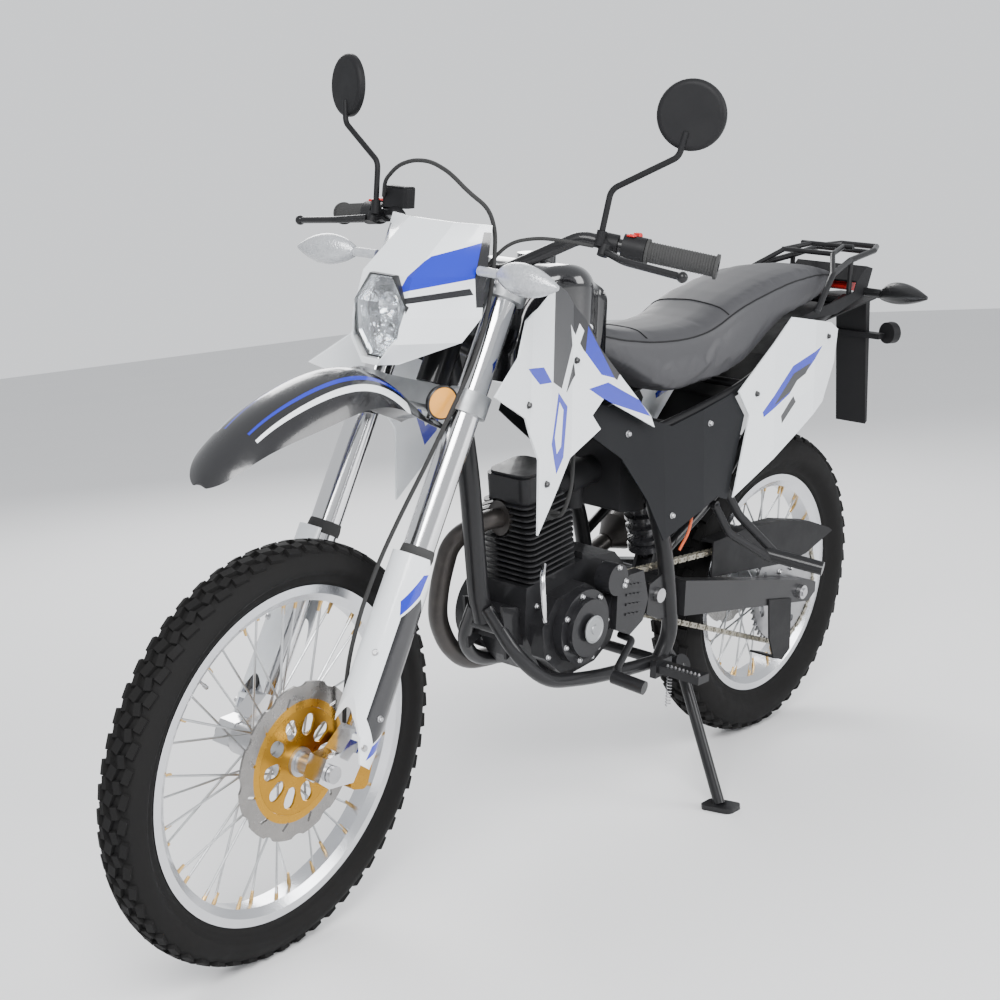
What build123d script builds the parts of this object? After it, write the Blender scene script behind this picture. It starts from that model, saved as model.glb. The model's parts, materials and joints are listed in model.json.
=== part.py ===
from build123d import *
import os
from math import asin, cos, degrees, radians, sin, sqrt, tan

# Off-road motorcycle, parked on its side stand
# Modelled upright and straight ahead: x forward, y left, z up, with the origin on the
# ground below the rear axle. Lengths are in mm and angles in degrees.

# Stance
wheelbase = 1400.0
rake = 26.0
axle_lead = 72.0
steer_rest = 4.45
lean = 8.0
fit_gap = 0.3
running_gap = 0.08
panel_wall = 3.0

# Front wheel
front_radius = 346.0
front_crown = 60.0
front_width = 80.0
front_rim_radius = 278.0
front_rim_width = 48.0
front_axle_radius = 8.0
front_flange_radius = 36.0
front_disc_radius = 130.0
front_disc_left = 47.0

# Rear wheel
rear_radius = 336.0
rear_crown = 76.0
rear_width = 106.0
rear_rim_radius = 241.0
rear_rim_width = 64.0
rear_axle_radius = 9.0
rear_flange_radius = 42.0
rear_disc_radius = 110.0
rear_disc_right = 58.0

# Wheels alike
rim_wall = 3.5
rim_depth = 27.0
spokes_a_side = 18
spoke_radius = 2.0
disc_wall = 4.0

# Fork and steering head
fork_spacing = 200.0
fork_ahead = 22.0
fork_tube_radius = 26.0
fork_leg_radius = 20.0
fork_tube_low = 333.0
fork_top = 829.0
lower_clamp = (604.0, 640.0)
upper_clamp = (800.0, 826.0)
head_radius = 27.0
stem_radius = 14.0
bar_radius = 11.0
bar_ahead = 23.0
bar_height = 848.0
riser_left = 45.0

# Frame
tube_radius = 14.0
down_tube_radius = 19.0
spar_radius = 16.0
spar_left = 100.0
pivot = (512.0, 436.0)
pivot_radius = 8.0
arm_left = (88.0, 118.0)

# Engine and drive
engine_left = 84.0
engine_right = 92.0
output_shaft = (600.0, 455.0)
chain_left = 74.0
chain_pitch = 15.875
chain_width = 17.0
chain_height = 15.0
front_teeth = 13
rear_teeth = 48

# Side stand
stand_pivot = (452.0, 124.0, 285.0)
stand_foot = (492.0, 264.0)
stand_fold = 100.0

# Directions and places that follow from the stance
steer_up = Vector(-sin(radians(rake)), 0, cos(radians(rake)))
steer_forward = Vector(cos(radians(rake)), 0, sin(radians(rake)))
front_centre = Vector(wheelbase, 0, front_radius)
rear_centre = Vector(0, 0, rear_radius)
steer_base = front_centre - steer_forward * axle_lead
fork_left = fork_spacing / 2
width_axis = Vector(0, 1, 0)


def fork_point(ahead, left, height):
    """Point ahead of and left of the steering axis, at a height along it."""
    return steer_base + steer_forward * ahead + width_axis * left + steer_up * height


def fork_plane(height, ahead=0.0, left=0.0):
    """Plane square to the steering axis, its x forward and its y to the left."""
    return Plane(fork_point(ahead, left, height), x_dir=steer_forward, z_dir=steer_up)


def side_plane(left=0.0):
    """Upright plane along the bike, its x forward and its y up."""
    return Plane.XZ.offset(-left)


def cross_plane(ahead, up=0.0):
    """Upright plane across the bike, its x to the left and its y up."""
    return Plane((ahead, 0, up), x_dir=(0, 1, 0), z_dir=(1, 0, 0))


def spin(centre, points, mode=Mode.ADD):
    """Ring about a line across the bike through centre, from (left, radius) points."""
    with BuildSketch(cross_plane(centre.X, centre.Z)) as section:
        with BuildLine():
            Polyline(*points, close=True)
        make_face()
    revolve(section.sketch, axis=Axis(centre, width_axis), mode=mode)


def slab(points, inner, outer, mode=Mode.ADD):
    """Plate with an outline of (x, z) points, from inner to outer along y."""
    with BuildSketch(side_plane(outer)) as outline:
        with BuildLine():
            Polyline(*points, close=True)
        make_face()
    extrude(outline.sketch, amount=outer - inner, mode=mode)


def rod(start, end, radius, bore=0.0, mode=Mode.ADD):
    """Straight round bar between two points, with an optional bore."""
    start, end = Vector(*start), Vector(*end)
    with BuildSketch(Plane(start, z_dir=end - start)) as section:
        Circle(radius)
        if bore:
            Circle(bore, mode=Mode.SUBTRACT)
    extrude(section.sketch, amount=(end - start).length, mode=mode)


def bend_radii(points, share=0.45):
    """Radius at each corner of a route: share of the shorter run over tan(half turn)."""
    runs = [Vector(*b) - Vector(*a) for a, b in zip(points, points[1:])]
    return [share * min(a.length, b.length) / tan(radians(a.get_angle(b) / 2))
            for a, b in zip(runs, runs[1:])]


def tube(points, radius, radii=None, bore=0.0, mode=Mode.ADD):
    """Round tube along straight runs joined by tangent arcs."""
    with BuildLine() as route:
        if len(points) == 2:
            Line(*points)
        else:
            FilletPolyline(*points, radius=radii or bend_radii(points))
    with BuildSketch(Plane(route.line @ 0, z_dir=route.line % 0)) as section:
        Circle(radius)
        if bore:
            Circle(bore, mode=Mode.SUBTRACT)
    sweep(section.sketch, path=route.line, mode=mode)


def wheel_bar(centre, inner, outer, radius, mode=Mode.ADD):
    """Round bar across the bike about centre, from inner to outer along y."""
    rod((centre.X, inner, centre.Z), (centre.X, outer, centre.Z), radius, mode=mode)


def sheet(low, high, wall=panel_wall):
    """Upright bent sheet between two plan curves (height, [(x, y) ...]), thick inwards."""
    bands = []
    for height, line in (low, high):
        with BuildSketch(Plane.XY.offset(height)) as band:
            with BuildLine():
                Polyline(*line, *[(x, y - wall) for x, y in reversed(line)], close=True)
            make_face()
        bands.append(band.sketch.face())
    loft(bands, ruled=True)


def hull(stations, ruled=False):
    """Body lofted through upright sections (x, low z, high z, half width, corner)."""
    faces = []
    for ahead, low, high, half, corner in stations:
        with BuildSketch(cross_plane(ahead, (low + high) / 2)) as section:
            RectangleRounded(2 * half, high - low, corner)
        faces.append(section.sketch.face())
    loft(faces, ruled=ruled)


# Wheels

def make_rim(centre, radius, width):
    """Rim with a dropped well, its flanges at the given radius."""
    half, floor = width / 2, radius - rim_depth
    spin(centre, [
        (-half, radius), (-half + rim_wall, radius), (-half + rim_wall, radius - 12),
        (-half / 2, floor + rim_wall + 5), (half / 2, floor + rim_wall + 5),
        (half - rim_wall, radius - 12), (half - rim_wall, radius), (half, radius),
        (half, radius - 14), (half - 9, floor), (-half + 9, floor), (-half, radius - 14)])


def make_tyre(centre, radius, crown, width, rim_radius, rim_width):
    """Tyre out to the tips of its blocks, seated on the rim's shoulders."""
    bead = rim_width / 2 - rim_wall - fit_gap
    seat_radius = rim_radius - 12 + fit_gap
    edge = width / 2 - 5
    edge_radius = radius - crown + sqrt(crown ** 2 - edge ** 2)
    wide_radius = (rim_radius + edge_radius) / 2 - 4
    with BuildSketch(cross_plane(centre.X, centre.Z)) as section:
        with BuildLine():
            for side in (1, -1):
                Line((0, seat_radius), (side * bead, seat_radius))
                Line((side * bead, seat_radius), (side * bead, rim_radius + 3))
                Line((side * bead, rim_radius + 3), (side * width / 2, wide_radius))
                Line((side * width / 2, wide_radius), (side * edge, edge_radius))
            ThreePointArc((-edge, edge_radius), (0, radius), (edge, edge_radius))
        make_face()
    revolve(section.sketch, axis=Axis(centre, width_axis))


def make_spokes(centre, flange_radius, flange_left, flange_right, rim_floor, cross=52.0):
    """Crossed spokes from both hub flanges to the floor of the rim."""
    axle = Axis((0, 0, 0), width_axis)
    planes = []
    for index in range(2 * spokes_a_side):
        right, lead = index % 2, 1 if index % 4 < 2 else -1
        turn = 360 / (2 * spokes_a_side) * index
        start_left = -flange_right if right else flange_left
        start = Vector(0, start_left, flange_radius - 5).rotate(axle, turn + lead * cross)
        end = Vector(0, -7 if right else 7, rim_floor).rotate(axle, turn)
        planes.append(Plane(centre + start, z_dir=end - start))
        length = (end - start).length - 1.2
    with BuildSketch(*planes) as section:
        RegularPolygon(spoke_radius, 6)
    extrude(section.sketch, amount=length)


# Front wheel
with BuildPart() as front_rim:
    make_rim(front_centre, front_rim_radius, front_rim_width)

with BuildPart() as front_tyre:
    make_tyre(front_centre, front_radius, front_crown, front_width,
              front_rim_radius, front_rim_width)

front_hub_half = 38.0
front_flange_left = 30.0
front_boss_radius = 24.0
front_bore = front_axle_radius + running_gap
disc_back = front_disc_left - disc_wall / 2
with BuildPart() as front_hub:
    flange_in = front_flange_left - 5
    spin(front_centre, [
        (-front_hub_half, front_bore), (-front_hub_half, 17), (-front_flange_left, 22),
        (-front_flange_left, front_flange_radius), (-flange_in, front_flange_radius),
        (-flange_in + 6, 20), (flange_in - 6, 20), (flange_in, front_flange_radius),
        (front_flange_left, front_flange_radius), (front_flange_left, 40), (disc_back, 40),
        (disc_back, front_boss_radius), (disc_back + 9, front_boss_radius),
        (disc_back + 9, front_bore)])
    make_spokes(front_centre, front_flange_radius, flange_in + 2, flange_in + 2,
                front_rim_radius - rim_depth)


def make_disc(centre, left, inner, outer, scallops, scallop_radius):
    """Brake disc with a waved rim and a ring of slots."""
    with BuildSketch(side_plane(left + disc_wall / 2)) as face:
        with Locations((centre.X, centre.Z)):
            Circle(outer)
            Circle(inner, mode=Mode.SUBTRACT)
            with PolarLocations(outer + scallop_radius - 5, scallops):
                Circle(scallop_radius, mode=Mode.SUBTRACT)
            with PolarLocations((inner + outer) / 2 - 2, scallops, 360 / scallops / 2):
                SlotOverall(18, 5, rotation=35, mode=Mode.SUBTRACT)
    extrude(face.sketch, amount=disc_wall)


def make_carrier(centre, left, bore, hub_radius, outer, arms, wall=disc_wall):
    """Spider of curved arms between a hub ring and a rim ring."""
    with BuildSketch(side_plane(left + wall / 2)) as face:
        with Locations((centre.X, centre.Z)):
            Circle(outer)
            Circle(bore, mode=Mode.SUBTRACT)
            window = (hub_radius + outer - 10) / 2
            with PolarLocations(window, arms):
                SlotOverall(outer - 10 - hub_radius, 24, mode=Mode.SUBTRACT)
    extrude(face.sketch, amount=wall)


disc_inner = 88.0
with BuildPart() as front_disc:
    make_disc(front_centre, front_disc_left, disc_inner, front_disc_radius, 12, 22)

with BuildPart() as front_disc_carrier:
    make_carrier(front_centre, front_disc_left, front_boss_radius + fit_gap, 42,
                 disc_inner - fit_gap, 10)

# Rear wheel
with BuildPart() as rear_rim:
    make_rim(rear_centre, rear_rim_radius, rear_rim_width)

with BuildPart() as rear_tyre:
    make_tyre(rear_centre, rear_radius, rear_crown, rear_width,
              rear_rim_radius, rear_rim_width)

sprocket_wall = 7.0
sprocket_back = chain_left - sprocket_wall / 2
rear_hub_boss = 62.0
rear_flange_left = 36.0
rear_bore = rear_axle_radius + running_gap
rear_disc_back = rear_disc_right - disc_wall / 2
with BuildPart() as rear_hub:
    flange_in = rear_flange_left - 6
    spin(rear_centre, [
        (-rear_disc_back - 14, rear_bore), (-rear_disc_back - 14, 20),
        (-rear_disc_back, 20), (-rear_disc_back, 40),
        (-rear_flange_left, rear_flange_radius), (-flange_in, rear_flange_radius),
        (-flange_in + 7, 26), (flange_in - 7, 26), (flange_in, rear_flange_radius),
        (rear_flange_left, rear_flange_radius), (rear_flange_left + 4, rear_hub_boss),
        (sprocket_back, rear_hub_boss), (sprocket_back, 25), (sprocket_back + 11, 25),
        (sprocket_back + 11, rear_bore)])
    make_spokes(rear_centre, rear_flange_radius, flange_in + 2, flange_in + 2,
                rear_rim_radius - rim_depth)

with BuildPart() as rear_disc:
    make_disc(rear_centre, -rear_disc_right, 22, rear_disc_radius, 10, 22)


def pitch_radius(teeth):
    """Radius of the circle through a sprocket's chain pins."""
    return chain_pitch / 2 / sin(radians(180 / teeth))


rear_pitch_radius = pitch_radius(rear_teeth)
front_pitch_radius = pitch_radius(front_teeth)
roller_radius = 5.0
tooth_gap = 0.7
with BuildPart() as rear_sprocket:
    tip = rear_pitch_radius - roller_radius - tooth_gap
    with BuildSketch(side_plane(chain_left + sprocket_wall / 2)) as face:
        with Locations((rear_centre.X, rear_centre.Z)):
            Circle(tip)
            Circle(25 + fit_gap, mode=Mode.SUBTRACT)
            with PolarLocations(tip - 26, 8, 22.5):
                SlotOverall(34, 16, rotation=90, mode=Mode.SUBTRACT)
    extrude(face.sketch, amount=sprocket_wall)

# Steering
head_low = lower_clamp[1] + 6
head_high = upper_clamp[0] - 6
clamp_half = fork_left + fork_tube_radius + 8
with BuildPart() as fork_clamps:
    for low, high, lap in ((*lower_clamp, 3), (*upper_clamp, 3)):
        with BuildSketch(fork_plane(low)) as plate:
            with Locations((fork_ahead, -fork_left), (fork_ahead, fork_left)):
                Circle(fork_tube_radius + 9)
            with Locations((fork_ahead - 12, 0)):
                Rectangle(52, fork_spacing - 30)
            with Locations((0, 0)):
                Circle(head_radius + lap)
            with Locations((fork_ahead, -fork_left), (fork_ahead, fork_left)):
                Circle(fork_tube_radius + fit_gap, mode=Mode.SUBTRACT)
        extrude(plate.sketch, amount=high - low)
    rod(fork_point(0, 0, lower_clamp[0]), fork_point(0, 0, upper_clamp[1] + 14), stem_radius)
    for left in (-riser_left, riser_left):
        with BuildSketch(fork_plane(upper_clamp[1] - 1, bar_ahead, left)) as riser:
            RectangleRounded(36, 24, 5)
        extrude(riser.sketch, amount=bar_height + 18 - upper_clamp[1])
    rod(fork_point(bar_ahead, -riser_left - 20, bar_height),
        fork_point(bar_ahead, riser_left + 20, bar_height), bar_radius + fit_gap,
        mode=Mode.SUBTRACT)

with BuildPart() as fork_tubes:
    for left in (-fork_left, fork_left):
        rod(fork_point(fork_ahead, left, fork_tube_low), fork_point(fork_ahead, left, fork_top),
            fork_tube_radius)
        rod(fork_point(fork_ahead, left, fork_tube_low - 14),
            fork_point(fork_ahead, left, fork_tube_low + 12), fork_tube_radius + 3)
        rod(fork_point(fork_ahead, left, fork_top), fork_point(fork_ahead, left, fork_top + 4),
            fork_tube_radius - 6)


def fork_slab(points, inner, outer, mode=Mode.ADD):
    """Plate with an outline of (ahead, height) steering points, from inner to outer in y."""
    plane = Plane(fork_point(0, outer, 0), x_dir=steer_forward, z_dir=(0, -1, 0))
    with BuildSketch(plane) as outline:
        with BuildLine():
            Polyline(*points, close=True)
        make_face()
    extrude(outline.sketch, amount=outer - inner, mode=mode)


axle_boss = (82.0, 116.0)
with BuildPart() as fork_legs:
    for side in (-1, 1):
        left = side * fork_left
        rod(fork_point(fork_ahead, left, 40),
            fork_point(fork_ahead, left, fork_tube_low - 14 - fit_gap), fork_leg_radius)
        inner, outer = sorted((side * axle_boss[0], side * axle_boss[1]))
        fork_slab([(0, 78), (44, 78), (66, 34), (axle_lead + 22, 20), (axle_lead + 22, -18),
                   (axle_lead - 8, -24), (10, -6)], inner, outer)
        wheel_bar(front_centre, inner, outer, front_axle_radius + running_gap,
                  mode=Mode.SUBTRACT)

guard_wall = 3.0
guard_low, guard_high = 8.0, 362.0
with BuildPart() as fork_guards:
    rings = []
    for height, radius in ((guard_low, 42.0), (guard_high, 38.0)):
        with BuildSketch(fork_plane(height, fork_ahead + 4, fork_left)) as ring:
            Circle(radius)
            Circle(radius - guard_wall, mode=Mode.SUBTRACT)
            with Locations((0, -47)):
                Rectangle(120, 50, mode=Mode.SUBTRACT)
        rings.append(ring.sketch.face())
    loft(rings)
    rod(fork_point(48, axle_boss[1] + fit_gap, 64), fork_point(48, fork_left + 33, 64), 5.5)
    fork_slab([(14, guard_low + 14), (40, guard_low + 18), (62, 92), (78, 200),
               (76, guard_high), (34, guard_high), (-2, 300), (-18, 262), (-4, 170),
               (2, 60)], 0, 200, mode=Mode.INTERSECT)
    mirror(about=Plane.XZ)

with BuildPart() as front_axle:
    wheel_bar(front_centre, -axle_boss[1] - 8, axle_boss[1] + 8, front_axle_radius)
    for side in (-1, 1):
        wheel_bar(front_centre, side * (axle_boss[1] + 1), side * (axle_boss[1] + 9), 14)
    wheel_bar(front_centre, disc_back + 9 + fit_gap, axle_boss[0] - fit_gap, 17)
    wheel_bar(front_centre, -axle_boss[0] + fit_gap, -front_hub_half - fit_gap, 26)


def in_disc_frame(centre, angle, radius):
    """Side-plane place at an angle round a disc, turned to face outward."""
    return Location((centre.X + radius * cos(radians(angle)),
                     centre.Z + radius * sin(radians(angle)), 0), (0, 0, angle))


def make_caliper(centre, left, disc_radius, angle, inner, outer, length, depth):
    """Two-sided brake caliper over the rim of a disc."""
    with BuildSketch(side_plane(outer)) as body:
        with Locations(in_disc_frame(centre, angle, disc_radius - depth / 2 + 16)):
            RectangleRounded(depth, length, 12)
    extrude(body.sketch, amount=outer - inner)
    with BuildSketch(side_plane(left + 7)) as slot:
        with Locations((centre.X, centre.Z)):
            Circle(disc_radius + 4)
    extrude(slot.sketch, amount=14, mode=Mode.SUBTRACT)


with BuildPart() as front_caliper:
    make_caliper(front_centre, front_disc_left, front_disc_radius, 196, 26, 80, 84, 44)
    fork_slab([(-30, 56), (12, 56), (14, 12), (-44, 4)], 62, axle_boss[0] - fit_gap)

# Fender stations: x, ridge height, half width, drop of the edges
fender_stations = [
    (1572, 818, 14, 6), (1536, 858, 50, 20), (1460, 908, 66, 40), (1370, 939, 74, 52),
    (1290, 950, 74, 52), (1200, 928, 66, 46), (1126, 874, 62, 26), (1062, 842, 56, 20)]
fender_wall = 3.5


def arch(stations, wall):
    """Arched shell lofted through (x, ridge z, half width, edge drop) stations."""
    faces = []
    for ahead, ridge, half, drop in stations:
        with BuildSketch(cross_plane(ahead, ridge)) as section:
            with BuildLine():
                ThreePointArc((-half, -drop), (0, 0), (half, -drop))
                Line((half, -drop), (half - wall, -drop))
                ThreePointArc((half - wall, -drop), (0, -wall), (-half + wall, -drop))
                Line((-half + wall, -drop), (-half, -drop))
            make_face()
        faces.append(section.sketch.face())
    loft(faces)


with BuildPart() as front_fender:
    arch(fender_stations, fender_wall)
    for left in (-34, 34):
        rod(fork_point(16, left, lower_clamp[0] - fit_gap),
            fork_point(16, left, lower_clamp[0] - 18), 8)

# Mask plan curves: height, x at the side edge, half width, x at the middle
mask_stations = [
    (1167, 1046, 103, 1072), (1088, 1066, 112, 1176), (1024, 1076, 114, 1196),
    (984, 1100, 96, 1208), (948, 1180, 34, 1212)]
lamp_centre = (1022.0, 64.0, 52.0)
with BuildPart() as headlight_mask:
    faces = []
    for height, edge, half, middle in mask_stations:
        with BuildSketch(Plane.XY.offset(height)) as section:
            with BuildLine():
                flat = half * 0.45
                Polyline((edge, -half), (middle, -flat), (middle, flat), (edge, half),
                         (edge - 2, half - panel_wall), (middle - panel_wall - 1, flat),
                         (middle - panel_wall - 1, -flat), (edge - 2, panel_wall - half),
                         close=True)
            make_face()
        faces.append(section.sketch.face())
    loft(faces, ruled=True)
    lamp_z, lamp_high, lamp_wide = lamp_centre
    lamp_outline = [(lamp_wide * 0.45, lamp_high), (lamp_wide, lamp_high * 0.3),
                    (lamp_wide * 0.9, -lamp_high * 0.45), (lamp_wide * 0.4, -lamp_high)]
    lamp_outline += [(-y, z) for y, z in reversed(lamp_outline)]
    with BuildSketch(cross_plane(1090, lamp_z)) as window:
        with BuildLine():
            Polyline(*lamp_outline, close=True)
        make_face()
    extrude(window.sketch, amount=200, mode=Mode.SUBTRACT)

with BuildPart() as headlight:
    faces = []
    for ahead, share in ((1110, 0.72), (1168, 0.96), (1196, 0.93), (1212, 0.7)):
        with BuildSketch(cross_plane(ahead, lamp_z - (ahead - 1196) * 0.12)) as section:
            with BuildLine():
                Polyline(*[(y * share, z * share) for y, z in lamp_outline], close=True)
            make_face()
        faces.append(section.sketch.face())
    loft(faces, ruled=True)
    for left in (-30, 30):
        rod((1112, left, lamp_z - 20), fork_point(fork_ahead + 20, left, lower_clamp[1] - 14), 7)

pod_low = upper_clamp[1] + 22
with BuildPart() as instrument:
    with BuildSketch(fork_plane(pod_low, 76)) as body:
        RectangleRounded(68, 118, 14)
    extrude(body.sketch, amount=32)
    fillet(instrument.faces().sort_by(Axis((0, 0, 0), steer_up))[-1].edges(), 6)
    with BuildSketch(fork_plane(upper_clamp[1] + 3 + fit_gap, 48)) as shelf:
        Rectangle(34, 36)
    extrude(shelf.sketch, amount=4)
    rod(fork_point(56, 0, upper_clamp[1] + 5), fork_point(56, 0, pod_low + 2), 8)

bar_end = Vector(838, 398, 1123)
bar_bend = Vector(928, 192, 1152)
bar_out = (bar_end - bar_bend).normalized()


def flip(point):
    """The same point on the other side of the bike."""
    return Vector(point.X, -point.Y, point.Z)


def on_bar(back, side=1):
    """Point on a handlebar's outer straight, back from its end."""
    point = bar_end - bar_out * back
    return point if side > 0 else flip(point)


bar_bore = 8.0
bar_bore_depth = 60.0
clamp_point = fork_point(bar_ahead, 82, bar_height)
bar_path = [bar_end, bar_bend, clamp_point, flip(clamp_point), flip(bar_bend), flip(bar_end)]
with BuildPart() as bar_room:
    tube(bar_path, bar_radius + fit_gap, radii=[45, 38, 38, 45])

with BuildPart() as handlebar:
    tube(bar_path, bar_radius, radii=[45, 38, 38, 45])
    for side in (1, -1):
        rod(on_bar(bar_bore_depth, side), on_bar(-5, side), bar_bore, mode=Mode.SUBTRACT)

grip_length = 118.0
grip_radius = 16.5
with BuildPart() as grips:
    for side in (1, -1):
        rod(on_bar(grip_length, side), on_bar(0, side), grip_radius, bar_radius + fit_gap)
        for back in (grip_length, 5):
            rod(on_bar(back, side), on_bar(back - 5, side), grip_radius + 4,
                bar_radius + fit_gap)

# Left switch and clutch perch, right throttle and brake master cylinder
lever_pivot = Vector(935, 243, 1137)
lever_ball = Vector(951, 400, 1116)
lever_knee = Vector(962, 300, 1128)
mirror_foot = Vector(934, 237, 1168)
mirror_elbow = Vector(926, 243, 1233)
stem_line = (mirror_elbow - mirror_foot).normalized()
perch_back = grip_length + 58
with BuildPart() as controls:
    with BuildSketch(Plane(flip(Vector(913, 203, 1158)), x_dir=(1, 0.1, 0),
                           z_dir=(0, 0, 1))) as reservoir:
        RectangleRounded(34, 54, 10)
    extrude(reservoir.sketch, amount=34)
    for side in (1, -1):
        turn = (lambda point: point) if side > 0 else flip
        rod(on_bar(grip_length + 1, side), on_bar(grip_length + 38, side), 21)
        rod(on_bar(perch_back - 12, side), on_bar(perch_back + 12, side), 17)
        rod(on_bar(perch_back, side), turn(lever_pivot), 10)
        rod(turn(lever_pivot) + steer_up * 9, turn(lever_pivot) - steer_up * 9, 9)
        rod(on_bar(perch_back, side), turn(mirror_foot - stem_line * 20), 8)
        rod(turn(mirror_foot - stem_line * 24), turn(mirror_foot), 8)
    add(bar_room.part, mode=Mode.SUBTRACT)

lever_start = lever_pivot + (lever_knee - lever_pivot).normalized() * 11.7
with BuildPart() as levers:
    for turn in (lambda point: point, flip):
        tube([turn(lever_start), turn(lever_knee), turn(lever_ball)], 6, radii=[40])
        with Locations(Location(turn(lever_ball))):
            Sphere(9)

mirror_centre = Vector(881, 352, 1356)
mirror_radius = 55.0
mirror_wall = 13.0
mirror_turn = 20.0
mirror_points = [mirror_foot + stem_line * fit_gap, mirror_elbow,
                 Vector(899, 345, 1292), Vector(894, 352, 1330)]
with BuildPart() as mirrors:
    with BuildSketch(Plane(mirror_centre, z_dir=(cos(radians(mirror_turn)),
                                                 sin(radians(mirror_turn)), 0))) as face:
        Circle(mirror_radius)
    extrude(face.sketch, amount=mirror_wall)
    fillet(mirrors.edges().sort_by(Axis.X)[-1], 9)
    with BuildSketch(Plane(mirror_centre, z_dir=(cos(radians(mirror_turn)),
                                                 sin(radians(mirror_turn)), 0))) as recess:
        Circle(mirror_radius - 3)
    extrude(recess.sketch, amount=3, mode=Mode.SUBTRACT)
    tube(mirror_points, 5, radii=[24, 20])
    mirror(about=Plane.XZ)

with BuildPart() as mirror_glass:
    with BuildSketch(Plane(mirror_centre, z_dir=(cos(radians(mirror_turn)),
                                                 sin(radians(mirror_turn)), 0))) as face:
        Circle(mirror_radius - 3 - fit_gap)
    extrude(face.sketch, amount=3 - fit_gap)
    mirror(about=Plane.XZ)


def make_blinkers(root, stations):
    """Pair of leaf-shaped lamps on stalks: (x, y, z, half thickness, half height)."""
    start = stations[0]
    rod(root, start[:3], start[3])
    faces = []
    for ahead, left, up, thick, high in stations:
        with BuildSketch(Plane((ahead, left, up), x_dir=(1, 0, 0), z_dir=(0, 1, 0))) as leaf:
            Ellipse(thick, high)
        faces.append(leaf.sketch.face())
    loft(faces)
    mirror(about=Plane.XZ)


with BuildPart() as front_indicators:
    make_blinkers((1078, 106.9, 1098), [
        (1084, 150, 1098, 8, 9), (1090, 178, 1098, 17, 23), (1092, 215, 1096, 20, 25),
        (1092, 250, 1094, 12, 14), (1093, 268, 1093, 4, 4)])

hose_radius = 3.5
brake_hose_route = [
    (934.3, -219.6, 1176.8), (956, -200, 1206), (984, -150, 1236), (1018, -88, 1252),
    (1052, -22, 1256), (1078, 38, 1244), (1082, 80, 1218), (1052, 98, 1194),
    (1032, 99, 1158), (1034, 102, 1108), (1046, 106, 1054), (1066, 112, 1000),
    (1100, 116, 944), (1142, 113, 880), (1182, 104, 806), (1222, 90, 730),
    (1262, 79, 652), (1290, 70, 576), (1308, 64, 500), (1312, 61, 430), (1306.9, 58.6, 364)]
with BuildPart() as brake_hose:
    tube(brake_hose_route, hose_radius)

cable_radius = 3.0
clutch_cable_route = [
    (943.5, 228.8, 1142.9), (966, 190, 1148), (988, 152, 1150), (1010, 114, 1140),
    (1022, 86, 1108), (1038, 70, 1062), (1058, 57, 1010)]
with BuildPart() as clutch_cable:
    tube(clutch_cable_route, cable_radius)


# Chassis
head_foot = fork_point(-12, 0, head_low + 62)
back_bone = [fork_point(-16, 0, head_low + 88), (860, 0, 900), (648, 0, 806)]
down_tube = [head_foot, (956, 0, 752), (918, 0, 500), (902, 0, 452)]
cradle = [(912, 14, 478), (884, 66, 392), (822, 86, 334), (700, 92, 312), (560, 92, 298),
          (488, 94, 294)]
spar = [(664, 12, 808), (628, 78, 778), (578, spar_left, 700), (500, spar_left, 545),
        (472, spar_left, 430), (458, spar_left, 345), (486, 94, 290)]
plate_wall = 6.0
mount_left = 42.0
with BuildPart() as frame:
    rod(fork_point(0, 0, head_low), fork_point(0, 0, head_high), head_radius)
    tube(back_bone, tube_radius + 5)
    tube(down_tube, down_tube_radius)
    tube(cradle, tube_radius - 1)
    tube(spar, spar_radius)
    plate_inner = spar_left - plate_wall / 2
    slab([(478, 480), (540, 462), (546, 405), (505, 385), (462, 380)],
         plate_inner, plate_inner + plate_wall)
    slab([(908, 486), (866, 476), (862, 400), (892, 384)], mount_left, mount_left + plate_wall)
    mirror(about=Plane.XZ)
    slab([(500, 300), (452, 316), (430, 292), (446, 270), (500, 282)], 90, 100)
    rod((stand_pivot[0], 96, stand_pivot[2]), (stand_pivot[0], 108, stand_pivot[2]), 15)
    rod((628, -80, 778), (628, 80, 778), 12)
    rod((896, -48, 440), (896, 48, 440), 12)
    rod((480, -96, 292), (480, 96, 292), 11)
    rod(fork_point(0, 0, head_low - 1), fork_point(0, 0, head_high + 1),
        stem_radius + running_gap, mode=Mode.SUBTRACT)
    rod((pivot[0], -130, pivot[1]), (pivot[0], 130, pivot[1]), pivot_radius + running_gap,
        mode=Mode.SUBTRACT)

rail = [(592, 84, 748), (452, 96, 772), (240, 100, 812), (40, 92, 892), (-210, 52, 944)]
strut = [(482, 97, 520), (330, 101, 600), (60, 96, 876)]
strut_radius = 10.0
shock_bar_radius = 10.0
shock_low, shock_high = Vector(404, 0, 470), Vector(490, 0, 752)
shock_line = (shock_high - shock_low).normalized()
shock_seat = shock_high + shock_line * (shock_bar_radius + fit_gap)
shock_eye = 14.0
with BuildPart() as spar_room:
    tube(spar, spar_radius + fit_gap)
    mirror(about=Plane.XZ)

with BuildPart() as subframe:
    tube(rail, 11)
    tube(strut, strut_radius)
    rod(shock_seat - width_axis * 92, shock_seat + width_axis * 92, shock_bar_radius)
    mirror(about=Plane.XZ)
    rod((-190, -54, 941), (-190, 54, 941), 9)
    rod((240, -100, 812), (240, 100, 812), 9)
    add(spar_room.part, mode=Mode.SUBTRACT)

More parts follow.
